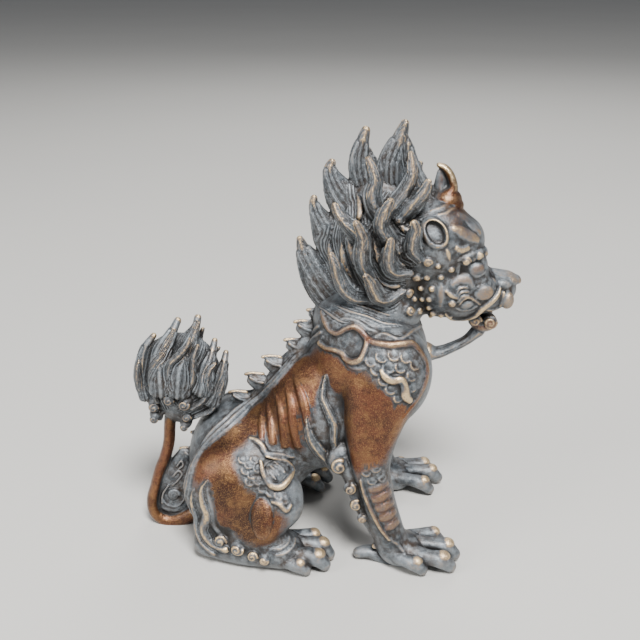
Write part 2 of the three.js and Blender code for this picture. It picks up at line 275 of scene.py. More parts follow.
def curl(place, axes, radius, turns=1.4, hand=1.0, start=0.0, rub=0.6, lift=1.0, **finish):
    """A volute: a low boss with a rope wound on it that rises to the middle."""
    along = np.linspace(0.0, 1.0, 46)
    reach = radius * (0.80 - 0.66 * along)
    angle = start + hand * 2 * math.pi * turns * along
    height = radius * (0.30 + 0.42 * along) * lift
    local = np.stack([reach * np.cos(angle), reach * np.sin(angle), height], axis=1)
    half = radius * (0.25 - 0.06 * along)
    boss(place, (radius * 1.02, radius * 1.02, radius * 0.36 * lift), axes, **finish)
    tube(place + local @ axes, np.stack([half, half * 1.15], axis=1), axes[2], around=10, rub=rub, **finish)
    boss(place + axes[2] * radius * 0.6 * lift, (radius * 0.2,) * 3, axes, around=10, rise=8, rub=rub,
        **finish)


def curl_on(place, radius, **kind):
    curl(np.array(place), axes_at(place), radius, **kind)


def bead_on(place, radius, rub=0.6):
    axes = axes_at(place)
    boss(np.array(place) + axes[2] * radius * 0.15, (radius,) * 3, axes, around=14, rise=10, rub=rub)


def scale_on(place, size, heading, rub=0.8):
    """A fish scale: a low tongue with a thin raised rim round its free end."""
    axes = axes_at(place)
    way = math.radians(heading)
    down = axes[0] * math.cos(way) + axes[1] * math.sin(way)
    side = np.cross(axes[2], down)
    out = unit(axes[2] + 0.18 * down)
    down = np.cross(side, out)
    angle = np.linspace(-1.45, 1.45, 24)
    arc = np.outer(np.cos(angle) * size * 0.95, down) + np.outer(np.sin(angle) * size, side)
    wide = np.cos(angle)
    half = np.stack([0.18 + 0.4 * wide, 0.25 + 0.55 * wide], axis=1)
    boss(place + down * size * 0.15, (size * 0.8, size * 0.8, 0.35), [down, side, out], around=16, rise=8)
    tube(place + out * 0.35 + arc, half, out, around=10, rub=rub)


# The smooth body

MASSES = {
    "body": [
        # centre, radii, and how many degrees the top leans forward:
        # rump, loins, barrel, chest, neck, flank, neck root
        ((-44, 0, 28), (20, 25, 25), 38),
        ((-23, 0, 46), (24, 29, 30), 38),
        ((1, 0, 66), (28, 30, 34), 38),
        ((22, 0, 90), (28, 31, 31), 10),
        ((20, 0, 107), (24, 26, 18), 15),
        ((-40, 0, 43), (22, 31, 26), 34),
        ((26, 0, 114), (17, 16, 15), 0),
    ],
    "head": [
        # skull, brow, face, mane's core, neck
        ((48, 0, 147), (20, 21, 20), 0),
        ((60, 0, 146), (13, 17, 11.5), -30),
        ((57, 0, 128), (19, 18, 14), 0),
        ((27, 0, 141), (22, 19, 31), 0),
        ((24, 0, 141), (23, 9, 36), 8),
        ((29, 0, 116), (18, 18, 17), 10),
    ],
    "tail": [((-64, 0, 77), (18.5, 12, 20), -8), ((-65, 0, 83), (19, 7.5, 19.5), 0),
        ((-66, 0, 62), (9, 5.5, 7), 0)],
}
PAIRED_MASSES = {
    "body": [
        ((-37, 22, 34), (26, 18, 25), 14),
        ((-28, 16, 44), (21, 18, 17), 35),
        ((-47, 25, 16), (13, 11, 15), 0),
        ((-18, 31, 34), (11, 10, 13), 0),
        ((29, 20, 90), (21, 17, 25), 10),
        ((-17, 34, 7), (12, 11, 8), 5),
        ((38, 32, 6.5), (12, 11, 8), 5),
    ],
    "head": [((71, 10, 127), (6, 5, 6), 0), ((67, 8.5, 137), (7, 6.5, 7.5), 0)],
    "tail": [],
}
LIMBS = {
    # path, then half widths in the side view and sideways
    "body": [
        ([(-17, 34, 32), (-26, 36, 22), (-37, 33, 12)], [(11, 9), (9.5, 8), (8, 7)]),
        ([(-54, 29, 7), (-36, 33, 6.5), (-18, 34, 8)], [(6, 6), (7, 8), (9, 11)]),
        ([(27, 26, 86), (23, 31, 66), (22, 33, 50)], [(17, 12), (12, 10), (9, 8.5)]),
        ([(22, 33, 54), (26, 34, 36), (33, 32, 10)], [(9, 8), (8, 7.5), (8, 8)]),
    ],
    "head": [
        ([(60, 0, 125), (70, 0, 123.5), (77, 0, 123), (81.5, 0, 124)],
            [(14, 17), (12.4, 14), (9.6, 11.5), (7.4, 8.8)]),
        ([(52, 0, 118), (66, 0, 116), (78, 0, 119)], [(7, 13), (5, 11), (4, 8)]),
    ],
    "tail": [],
}


FLESH_SMOOTHING = 60  # rounds that blend the masses into one another


def ball(centre, radii, lean):
    bpy.ops.object.select_all(action="DESELECT")
    turn = (0.0, math.radians(lean), 0.0)
    bpy.ops.mesh.primitive_uv_sphere_add(
        segments=32, ring_count=20, location=centre, rotation=turn, scale=radii
    )
    bpy.ops.object.transform_apply(location=True, rotation=True, scale=True)
    return bpy.context.active_object


def select_only(*objects):
    bpy.ops.object.select_all(action="DESELECT")
    for piece in objects:
        piece.select_set(True)
    bpy.context.view_layer.objects.active = objects[0]


def mesh_object(name, points, faces):
    mesh = bpy.data.meshes.new(name)
    mesh.from_pydata(np.asarray(points, float).tolist(), [], np.asarray(faces).tolist())
    mesh.update()
    piece = bpy.data.objects.new(name, mesh)
    bpy.context.collection.objects.link(piece)
    return piece


def shaped(piece, kind, **settings):
    """Adds a modifier to a piece and applies it."""
    select_only(piece)
    bpy.ops.object.modifier_add(type=kind)
    modifier = piece.modifiers[-1]
    for name, value in settings.items():
        setattr(modifier, name, value)
    bpy.ops.object.modifier_apply(modifier=modifier.name)


def read(mesh, name):
    values = np.empty(len(mesh.vertices) * 3, np.float32)
    mesh.vertices.foreach_get(name, values)
    return values.reshape(-1, 3).astype(float)


def triangles_of(mesh):
    mesh.calc_loop_triangles()
    corners = np.empty(len(mesh.loop_triangles) * 3, np.int32)
    mesh.loop_triangles.foreach_get("vertices", corners)
    return corners.reshape(-1, 3)


def stacked(shapes):
    """Several shapes as one list of points, one of triangles and one of finishes."""
    starts = np.cumsum([0] + [len(points) for points, _, _ in shapes])
    triangles = [faces + start for (_, faces, _), start in zip(shapes, starts)]
    return (
        np.vstack([points for points, _, _ in shapes]),
        np.vstack(triangles),
        np.vstack([finish for _, _, finish in shapes]),
    )


def joined(name, points, triangles, grain):
    """One closed mesh around everything inside the given closed shapes."""
    step = openvdb.createLinearTransform(voxelSize=grain)
    volume = openvdb.FloatGrid.createLevelSetFromPolygons(
        points.astype(np.float32), triangles=triangles.astype(np.uint32), transform=step, halfWidth=2.0
    )
    skin, quads = volume.convertToQuads()
    return mesh_object(name, *largest(skin, quads[:, ::-1]))


def largest(points, quads):
    """Only the largest connected piece of a mesh, which leaves out pockets closed inside it."""
    label = np.arange(len(points))
    while True:
        low = label[quads].min(axis=1)
        new = label.copy()
        for corner in range(4):
            np.minimum.at(new, quads[:, corner], low)
        new = new[new]
        if (new == label).all():
            break
        label = new
    kept = label == np.bincount(label).argmax()
    number = np.cumsum(kept) - 1
    return points[kept], number[quads[kept[quads[:, 0]]]]


class QILIN_OT_flesh(bpy.types.Operator):
    """Model the smooth forms under the carving"""

    bl_idname = "qilin.flesh"
    bl_label = "Smooth forms"

    def execute(self, context):
        grain = context.scene.qilin_sizes.flesh_grain
        for part in MASSES:
            MODEL["part"] = part
            balls = [ball(*mass) for mass in MASSES[part]]
            for (x, y, z), radii, lean in PAIRED_MASSES[part]:
                balls.append(ball((x, y, z), radii, lean))
                balls.append(ball((x, -y, z), radii, lean))
            select_only(*balls)
            bpy.ops.object.join()
            masses = context.view_layer.objects.active
            points = read(masses.data, "co")
            put(points, triangles_of(masses.data), pair=False)
            bpy.data.objects.remove(masses)
            for path, widths in LIMBS[part]:
                centre = through([(x, -y, z) for x, y, z in path], 20)
                tube(centre, through(widths, 20), OUTWARD, around=24)
            points, triangles, _ = stacked(WAX[part])
            WAX[part].clear()
            flesh = joined(f"flesh_{part}", points, triangles, grain)
            shaped(flesh, "SMOOTH", factor=0.5, iterations=FLESH_SMOOTHING)
            tree = BVHTree.FromObject(flesh, context.evaluated_depsgraph_get())
            FLESH[part] = {"tree": tree, "points": read(flesh.data, "co"),
                "triangles": triangles_of(flesh.data)}
            bpy.data.objects.remove(flesh)
        return {"FINISHED"}


# Mane

# Each lock: marks from root to tip with its half width, its number of strands, and at the sides
# how far its tip stands out.
CREST_LOCKS = [
    (marks("34.1 154.4 5, 32 164.3 5, 30.5 173.1 4.9, 30.6 181.7 4.4, 33.7 191 3.2, 35.6 197.3 1.7", 0), 7),
    (marks("24.4 158.9 4, 19.8 167.8 3.8, 17.1 176.5 3.4, 16.6 183.4 3.1, 18.1 190.2 2.5, "
        "19.3 194.4 1.8", 0), 5),
    (marks("20.1 154.4 6.5, 13 162.5 6, 8.2 168.2 4.8, 5.1 174.4 3.2, 4.3 178.3 2.4, 5.1 180.8 1.6", 0), 6),
    (marks("14.2 136 6.5, 7.9 143.5 6, 3.1 150.8 5, -0.9 158 3, -2.6 162.9 2, -2.6 165.2 1.4", 0), 6),
    (marks("14.5 117 6, 5.9 121.3 6.2, -0.4 129 5.8, -4.9 137 4.4, -7.5 142.5 2.8, -8.8 146.7 1.5", 0), 6),
    (marks("45.1 161.6 4.5, 43.1 168.7 3.6, 40.2 176.5 2.6, 37.8 183.4 2.4, 36.8 188.1 2.2, "
        "35.8 191.9 1.2", 0), 4),
]
SIDE_LOCKS = [
    (marks("26.9 158.5 2.4, 23.4 164.5 2.6, 21.6 170.5 2.6, 22.7 176.4 2.3, 21.4 181.4 1.9, "
        "19.7 185.2 1.1", -14), 5, 13),
    (marks("27.8 160.8 2.4, 31.8 166.4 2.6, 35.4 171.9 2.4, 37.7 177.4 2.3, 37.9 182.4 2, "
        "37.3 187 1.1", -13), 5, 12),
    (marks("33.2 159.9 3, 36.8 164.6 3, 40.3 168.8 2.6, 43 172.6 2.3, 44.5 176.4 1.4", -19), 5, 17),
    (marks("19.4 150.3 2.6, 14.7 155.1 2.6, 10.5 159 2.3, 7.5 162.9 2, 6.2 165.9 1.4", -16), 5, 15),
    (marks("32.4 147.6 2.6, 28.1 152.8 2.7, 25.4 158.8 2.5, 26.5 164.7 2.4, 28.8 169.7 1.5", -24), 5, 22),
    (marks("21.8 134.7 2.4, 18.3 140.9 2.6, 17.4 147.1 2.6, 17.7 152.7 2.4, 16.4 157.4 1.9, "
        "14.7 161.2 1.3", -25), 5, 25),
    (marks("41.8 144.2 2, 38.7 148.6 2.6, 38.5 153.7 2.4, 39.1 158.4 2.1, 38.2 161.4 1.6", -27), 5, 26),
    (marks("38.2 137.1 2.2, 32.8 137.6 2.4, 29.4 140.7 2.5, 28.4 145.9 2.3, 28.7 150.6 2, "
        "29 154.5 1.4", -28), 5, 27),
    (marks("22.3 124.2 2.5, 15.4 125.5 2.6, 10.6 129.6 2.6, 7.6 136 2.4, 6.3 141.3 2.1, 4.6 145.7 1.4",
        -21), 5, 19),
    (marks("35.6 128.2 2, 29.8 125.5 2.4, 25.2 126.9 2.6, 22.6 131.4 2.5, 20.8 135.8 2.1, "
        "19.1 138.9 1.4", -28), 5, 27),
]
UNDER_LOCKS = [
    (marks("34.8 130 1.2, 29.7 130.5 1.3, 25.8 132.7 1.3, 23.2 136.8 0.6", -22), 3),
    (marks("36.7 140 1.4, 33.7 142.7 1.5, 32.7 147.1 1.5, 33.8 151.4 0.7", -25), 3),
    (marks("25.1 143.4 1.6, 22.5 148.7 1.7, 22.4 153.9 1.5, 23.9 159.1 0.7", -22), 3),
    (marks("13.6 142.1 1.6, 11 147.4 1.7, 9.2 151.8 1.5, 7.5 156.2 0.7", -18), 3),
    (marks("13.8 130.5 1.6, 9 137.8 1.8, 5.5 144.1 1.6, 3.4 149.4 0.7", -16), 3),
    (marks("36.6 155.9 1.5, 34.7 161 1.7, 35 166.1 1.5, 37.7 170.4 0.7", -20), 3),
    (marks("26.7 159.3 1.5, 26.5 165.3 1.7, 28.1 170.4 1.5, 29.6 174.6 0.7", -17), 3),
    (marks("16.9 159.6 1.5, 15.5 164.8 1.7, 13.4 169.1 1.5, 11.2 173.4 0.7", -12), 3),
    (marks("4.3 135.7 1.5, 0.9 141.2 1.7, -1.7 146.6 1.5, -3 151.1 0.7", -10), 3),
]


def lock(marked, strands, thick=0.85, tip_out=None, skirt=0.0, rub=0.75, pair=True):
    """One flame lock. Its tip may stand out further than its root, and a skirt webs its foot."""
    course, widths = parted(marked)
    count = 40
    centre = through(course, count)
    lift = np.linspace(0.0, 1.0, count)
    half = through(widths, count)
    if tip_out is not None:
        tree = FLESH[MODEL["part"]]["tree"]
        hits = [tree.ray_cast(Vector((x, -90.0, z)), Vector((0.0, 1.0, 0.0)))[0] for x, _, z in centre]
        ground = np.array([0.0 if hit is None else -hit[1] for hit in hits])
        rise = ground[0] * (1.0 - lift) + tip_out * lift + 1.6 * np.sin(math.pi * lift)
        centre[:, 1] = -np.maximum(rise, ground + half[:, 0] * 0.35)
        for _ in range(6):
            centre[1:-1, 1] = 0.25 * centre[:-2, 1] + 0.5 * centre[1:-1, 1] + 0.25 * centre[2:, 1]
    out = OUTWARD if not pair else unit(0.6 * facing(centre) + OUTWARD)
    gold = rub * (0.3 + 1.0 * lift)
    tube(centre, np.hstack([half, half * thick]), out, around=26, rub=gold, hair=1.0, pair=pair)
    if skirt:
        low = centre[: count * 3 // 4]
        share = np.linspace(1.0, 0.35, len(low))[:, None]
        wide = half[: len(low)] * (1.0 + skirt * share)
        away = np.broadcast_to(out, centre.shape)[: len(low)]
        depth = half[: len(low)] * 0.9
        inner = low - away * depth if pair else low
        tube(inner, np.hstack([wide, depth]), away, around=26, hair=1.0, pair=pair)
    keep_flow(centre, half[:, 0], strands)


class QILIN_OT_mane(bpy.types.Operator):
    """Model the flame locks of the mane"""

    bl_idname = "qilin.mane"
    bl_label = "Flame mane"

    def execute(self, context):
        MODEL["part"] = "head"
        for marked, strands in CREST_LOCKS:
            lock(marked, strands, thick=0.9, skirt=0.7, pair=False)
        for marked, strands, tip_out in SIDE_LOCKS:
            lock(marked, strands, tip_out=tip_out, skirt=0.9)
        for marked, strands in UNDER_LOCKS:
            course, widths = parted(marked)
            centre, outs = laid(course, 30)
            foot = np.array([FLESH["head"]["tree"].find_nearest(Vector(place))[0] for place in centre])
            half = through(widths, 30)
            tube(foot + outs * 0.2, np.hstack([half, half * 0.8]), outs, hair=1.0, rub=0.25)
            keep_flow(foot, half[:, 0], strands)
        return {"FINISHED"}


# Head

BEADS = marks("49.9 -19.4 140.8 1.3, 45.9 -16.1 134.7 1.5, 51.8 -16.5 134.8 1.3, 43.9 -12.9 128.5 1.4, "
    "48.3 -15.5 129 1.4, 41.2 -11.6 122.9 1.3, 47.5 -14 123.8 1.4, 48 -11.2 118.9 1.4, "
    "50 -10.4 115.8 1.5, 53.5 -11 115.1 1.3, 49.6 -6.2 113 1.2, 57.5 -10.8 114.5 1.2, "
    "55.8 -16.8 138.5 1.5, 44.7 -11.8 122.9 1.2")
CHEEK_CURLS = marks("45.5 -19.9 142.7 2.3, 41.6 -15.5 134.9 2.5, 38.3 -13.6 126.4 2.5, "
    "38.9 -14.2 118.7 2.7, 43.8 -9.9 116.5 1.9")
BROW_CURLS = marks("62.2 -16 141.9 2.3, 65.4 -14 142.5 1.9, 67.9 -14 143.4 2, 70.9 -9 142.7 1.8")


class QILIN_OT_head(bpy.types.Operator):
    """Model the face: horn, brows, eyes, ears, cheeks, muzzle, mouth and beard beads"""

    bl_idname = "qilin.head"
    bl_label = "Face and horn"

    def execute(self, context):
        MODEL["part"] = "head"
        self.horn()
        self.brows()
        self.ears()
        self.cheeks()
        self.muzzle()
        return {"FINISHED"}

    def horn(self):
        course = marks("55.5 161.6, 54.9 166, 56.8 170.4, 55.6 175.2, 53.3 178.3, 50.7 179.6", 0)
        half = through([(7.0, 8.0), (5.2, 6.4), (2.6, 4.4), (2.0, 3.4), (1.6, 2.6), (1.1, 1.8)], 36)
        gold = np.linspace(0.1, 0.8, 36)
        tube(through(course, 36), half, OUTWARD, around=24, rub=gold, bare=1.0, pair=False)
        boss(marks("54.5 164.7", 0)[0], (7.0, 7.4, 5.2), pair=False, bare=1.0, rub=0.1)
        hollow = marks("52.2 167.8, 52 172.2, 51.3 176.5", 0)
        tube(through(hollow, 20), through([(3.2, 3.4), (3.0, 2.0), (1.4, 1.2)], 20), OUTWARD, pair=False)
        band(marks("46.3 -12.2 162.7 0.6, 50.6 -10.7 163.6 0.9, 54.9 -6.7 164.3 1, "
            "58.7 -1.3 163.4 0.8"), thick=0.5, rub=0.3)
        band(marks("49.5 -13.9 161.5 0.5, 53 -12.4 161.9 0.8, 56.4 -8.8 162.7 0.9, "
            "60.6 -3.6 161.7 0.8"), thick=0.6, rub=0.6)

    def brows(self):
        band(marks("55.8 -16.1 156.5 1.6, 59.4 -15 154.4 2.7, 63.1 -13.8 152.3 2.7, "
            "67.3 -12.2 150 1.6"), thick=0.45, rub=0.35, bare=0.5)
        band(marks("58.5 -9.8 160.8 1.2, 62.3 -8.2 158.1 2.2, 65.4 -8.6 155.1 2.4, "
            "68.5 -9.3 151.8 1.6"), thick=0.3, rub=0.2, bare=0.4)
        band(marks("57.2 -18.2 148.3 1.2, 60 -16.9 147.1 1.7, 62.7 -15.9 147.6 1.2"), thick=0.6, rub=0.8)
        band(marks("58.6 -17 142.6 0.8, 62.1 -15.9 143.6 1.3, 66.6 -13.8 144.7 1.3, "
            "71.2 -7.1 144.3 0.8"), thick=0.9, rub=0.2)
        for x, y, z, radius in BROW_CURLS:
            axes = np.array([FORWARD, np.cross(OUTWARD, FORWARD), OUTWARD])
            boss((x, y + 2.0, z + 0.8), (radius * 1.1, 3.0, radius * 1.2))
            curl(np.array([x, y, z]), axes, radius, rub=0.7)
        x, y, z = marks("67.4 -14.2 137.7")[0]
        boss((x, y, z), (3.4, 2.5, 1.3), axes_at((x, y, z)), rub=0.0, bare=0.9)
        band(marks("63.4 -14.4 140 0.4, 64.9 -14.4 136.4 0.6, 68.1 -14.2 134.4 0.6, "
            "71.2 -12.9 136.3 0.4"), proud=0.3, rub=0.1)
        band(marks("63.6 -15.1 133.9 0.4, 66.4 -14.8 131.9 0.8, 70.1 -13.5 131.9 0.9, "
            "73 -11 133.3 0.5"), thick=0.5, rub=0.1)

    def ears(self):
        (x, y, z), (tip_x, tip_y, tip_z) = marks("47.6 -18.6 155.5, 44.9 -14.7 160.4")
        out = unit(facing([x, y, z])[0] + np.array([0.25, -0.6, 0.0]))
        along = unit(np.array([tip_x - x, 0.0, tip_z - z]))
        along = unit(along - out * (along @ out))
        across = np.cross(out, along)
        angle = np.linspace(0.0, 2 * math.pi, 60, endpoint=False)
        flat = np.outer(np.cos(angle) * 6.6, along) + np.outer(np.sin(angle) * 4.3, across)
        base = np.array([x, y, z]) + flat
        ring = np.array([FLESH["head"]["tree"].find_nearest(Vector(p))[0] for p in base])
        height = 1.9 + 0.9 * np.sin(angle - 0.8) * np.sign(across[0])
        # The rim's gold runs round one side only: wear and painted highlight on the lit side.
        front = np.clip(0.6 + 0.6 * np.cos(angle + 2.0), 0.0, 1.0)
        front = np.append(front, front[0])
        for share, thick, gold in [(0.0, 1.3, 0.0), (0.5, 0.9, 0.0), (1.0, 0.48, 1.0)]:
            level = ring + np.outer(height * share, out)
            level = np.vstack([level, level[:1]])
            tube(level, np.full((61, 2), thick), out, around=12, domed=False, rub=gold * front)
        band(marks("52.8 -19.9 148.5 0.4, 53.8 -19.6 146.2 1.1, 54.9 -18.8 142.8 0.4"), rub=0.6)

    def cheeks(self):
        for x, y, z, radius in BEADS:
            bead_on((x, y, z), radius)
        for i, (x, y, z, radius) in enumerate(CHEEK_CURLS):
            curl_on((x, y, z), radius, hand=(-1) ** i, rub=0.6)
        band(marks("59.1 -16.4 141.5 0.6, 59 -15.3 138.5 1.4, 59.2 -15.5 134.9 0.6"), thick=0.6,
            rub=0.2, bare=0.8)
        band(marks("52 -16.4 131.6 0.8, 52.2 -16.8 127.2 1.6, 52.4 -14.4 120.6 1"), thick=0.4, rub=0.1,
            bare=0.9)
        band(marks("56.7 -17.1 130.9 0.9, 59.7 -16.1 133.3 2, 63.2 -15.4 133.1 2.4, "
            "66 -15.3 129.8 1.4"), thick=0.4, rub=0.15, bare=0.7)
        for step in range(3):
            ridge = [np.array(p) for p in marks("58.6 -17.3 126.9, 60.2 -17.1 129.6, 63.3 -16.3 129.7")]
            shift = np.array(marks("59.2 -16.8 124.4")[0]) - ridge[0]
            band([p + shift * (0.75 * step - 0.1) for p in ridge], [0.3, 0.45, 0.3], proud=0.5, rub=0.5)
        band(marks("54.2 -17.2 128.7 0.6, 56.4 -17.4 126.9 1.1, 59.6 -17 125.4 0.7"), proud=0.2, rub=0.6)
        bead_on(marks("57.2 -16.4 122.8")[0], 1.7, rub=0.3)
        lens = marks("64 -15 121.4")[0]
        boss(lens, (3.0, 2.0, 1.0), axes_at(lens), rub=0.05)
        band(marks("60.3 -16 122.2 0.4, 61.8 -16.5 124.7 0.65, 64 -16 125.5 0.7, 66.4 -15 124.2 0.65, "
            "69.9 -13.5 121.2 0.4"), proud=0.5, rub=0.6)
        band(marks("59.3 -15.1 120 0.4, 62.1 -14.1 118.7 0.6, 65.7 -13.5 118.9 0.6, "
            "68.7 -13.4 120.3 0.4"), proud=0.2, rub=0.2)
        ball_at = marks("71.2 -14.3 126.7")[0]
        boss(ball_at, (4.4, 3.4, 1.2), axes_at(ball_at), rub=0.15, bare=0.6)
        band(marks("64.8 -15.9 127.8 0.4, 67.4 -14.9 129.2 0.7, 71 -13.8 130.2 0.7, "
            "74.8 -12.2 129.1 0.4"), thick=0.6, rub=0.15)

    def muzzle(self):
        rope = marks("55.4 -12.4 116.6, 59.4 -8 112.6, 63.5 -6.7 112.1, 67.9 -9.5 114.4, "
            "71.2 -12.1 118.8, 74.9 -12.1 122.1, 77.6 -10.7 124.8, 78.6 -9 127")
        band(rope, [0.6, 1.0, 1.2, 1.3, 1.3, 1.2, 1.0, 0.6], proud=0.7, rub=0.95)
        lip = marks("82.8 121", -8)[0]
        boss(lip, (3.1, 3.2, 4.1), rub=0.15)
        band(marks("81.2 125.5 0.5, 81 122.2 0.9, 80.4 118 0.6", -10), proud=0.6, rub=0.8)
        band(marks("73.5 118.1 0.7, 76.8 116.2 1, 80.8 115.7 1, 83.7 118.1 0.7", -9), rub=0.5)
        bridge = through(marks("77 129, 81 128.5, 85.1 128.2, 88.3 128", 0), 24)
        tube(bridge, through([(3.6, 8.0), (3.5, 7.6), (3.1, 6.6), (1.7, 4.6)], 24), OUTWARD, rub=0.15,
            bare=0.25, pair=False)
        boss(marks("78.7 127.8", -6)[0], (6.0, 3.2, 2.8), bare=0.3)
        band(marks("72.8 136.2 0.6, 76.4 133.9 1.2, 80.4 133.4 1.2, 84.5 132.5 0.8", -6), thick=0.4,
            rub=0.2)
        band(marks("78.7 129.3 0.5, 77.2 131.1 0.8, 78 133 0.8, 80.2 132.5 0.5", -10), proud=0.3, rub=0.3)
        for step in range(3):
            fold = marks("70.7 -13.2 135.9, 72.9 -11.8 132.2, 73.8 -13.1 129")
            band([(x + 2.6 * step, y, z - 0.2 * step) for x, y, z in fold], [0.4, 0.8, 0.5], rub=0.2)


class QILIN_OT_beard(bpy.types.Operator):
    """Model the beard: the chin ball and the bar that props it on the chest"""

    bl_idname = "qilin.beard"
    bl_label = "Beard bar"

    def execute(self, context):
        MODEL["part"] = "head"
        x, _, z = marks("74.4 107.7", 0)[0]
        boss((x, 0, z), (6.4, 6.6, 4.6), pair=False, rub=0.1, bare=0.6)
        axes = np.array([FORWARD, UP, OUTWARD])
        for (px, py, pz), radius, hand in zip(marks("69.6 110.6, 76.4 109.6", -6), (3.2, 3.4), (1, -1)):
            curl(np.array([px, py, pz]), axes, radius, turns=1.5, hand=hand, rub=0.45, lift=0.8, bare=0.5)
        bar = marks("49.1 92.1, 54.6 92.1, 61 94.7, 67.2 98.2, 72.4 103.2", 0)
        half = through([(5.0, 5.0), (2.7, 4.2), (2.1, 3.6), (2.2, 3.4), (3.2, 4.2)], 40)
        tube(through(bar, 40), half, OUTWARD, around=24, rub=0.3, hair=0.6, pair=False)
        keep_flow(through(bar, 40), half[:, 0], 3)
        return {"FINISHED"}


# Back, ribs and collar

FIN_TIPS = marks("-5.5 112.6 0.6, -11.4 106.7 1, -16.1 97.7 0.9, -26.5 89.1 1, -34.6 80.3 1, "
    "-42.5 70.9 0.95, -49.5 62.4 0.9, -56 55.9 0.85, -61.6 49.4 0.8, -67.4 40.5 0.75", 0)
# Steps back and down from the tip, then half height and half thickness before it is flattened.
FIN_SHAPE = [(2.0, -1.9, 2.7, 2.2), (3.9, -2.8, 3.7, 2.9), (6.5, -4.1, 4.6, 3.6),
    (10.0, -6.1, 5.8, 4.6), (13.0, -8.0, 6.4, 5.2)]
FIN_FLATNESS = 0.72
SPINE = marks("2.8 103.2, -3.7 101.2, -8.8 98.2, -14.9 89.6, -22 81.4, -30.7 70.9, -37.6 62.4, "
    "-45 54.3, -53.1 45", 0)
CORD = marks("0.9 -14.5 108.4, -3.2 -5.8 100.7, -9.2 -3.9 92.9, -15.1 -7.9 87.7, -20.6 -9 81.1, "
    "-27.1 -4.8 72.3, -32.7 -6.2 68.3, -37.1 -10.2 66.2, -42.3 -15.5 63.4, -47.6 -18.5 59.3, "
    "-52.2 -20.6 54.8, -56 -24.6 50.3, -58.7 -27.6 44.8, -60.2 -28.8 38.1, -61.3 -25.4 28.7, "
    "-59.1 -26.7 22.7")


class QILIN_OT_back(bpy.types.Operator):
    """Model the fins and cord along the spine and the ribs on the flank"""

    bl_idname = "qilin.back"
    bl_label = "Fins and ribs"

    def execute(self, context):
        MODEL["part"] = "body"
        slab = through([(x + 3.0, 0.0, z - 3.0) for x, _, z in SPINE], 60)
        tube(slab, np.tile([5.4, 4.4], (60, 1)), OUTWARD, around=24, pair=False)
        for x, _, z, size in FIN_TIPS:
            path = [(x + size * a, 0.0, z + size * b) for a, b, _, _ in FIN_SHAPE]
            half = through([(size * w, size * t * FIN_FLATNESS) for _, _, w, t in FIN_SHAPE], 26)
            tube(through(path, 26), half, OUTWARD, around=22, pair=False)
            edge = [(x - 0.2, 0.0, z + 0.5), (x + 3 * size, 0, z + 1.0 * size),
                (x + 8 * size, 0, z + 0.6 * size)]
            tube(through(edge, 16), np.full((16, 2), 0.85), OUTWARD, around=10, rub=0.7, pair=False)
            inner = [(x + 2.0, -1.5, z - 0.6), (x + 5 * size, -2.2, z - 2.2 * size),
                (x + 8 * size, -3.0, z - 2.6 * size)]
            tube(through(inner, 14), np.full((14, 2), 0.7), OUTWARD, around=8, rub=0.25)
        band(CORD, [0.95] * len(CORD), proud=0.5, rub=0.25)
        inside = [(x - 1.6, y + 2.2, z + 1.8) for x, y, z in CORD]
        band(inside, [0.9] * len(CORD), proud=0.3, rub=0.2)
        outside = [(x + 1.7, y - 0.8, z - 1.5) for x, y, z in CORD]
        band(outside, [0.7] * len(CORD), proud=0.1, rub=0.15)
        for course, width in [
            (marks("-27.5 -14.8 67.7, -26.8 -19.8 64.2, -26.2 -25.1 59.4"), 1.15),
            (marks("-24.3 -12.5 72.1, -22.7 -19.2 66.9, -21.2 -25.6 58.7"), 1.35),
            (marks("-20 -14.8 77.9, -17.5 -21.7 71.4, -15.8 -25.9 57.4"), 1.5),
            (marks("-15.8 -15.4 82.8, -12.9 -23 76.6, -9.9 -27.1 58"), 1.7),
            (marks("-11.7 -14.4 87.3, -8.4 -22.5 81.8, -6.2 -27 75.2, -4.9 -28.8 69.2"), 1.8),
        ]:
            band(course, [0.5] + [width * 1.15] * (len(course) - 1), thick=0.6, proud=0.1, rub=0.05,
                bare=1.0)
        return {"FINISHED"}


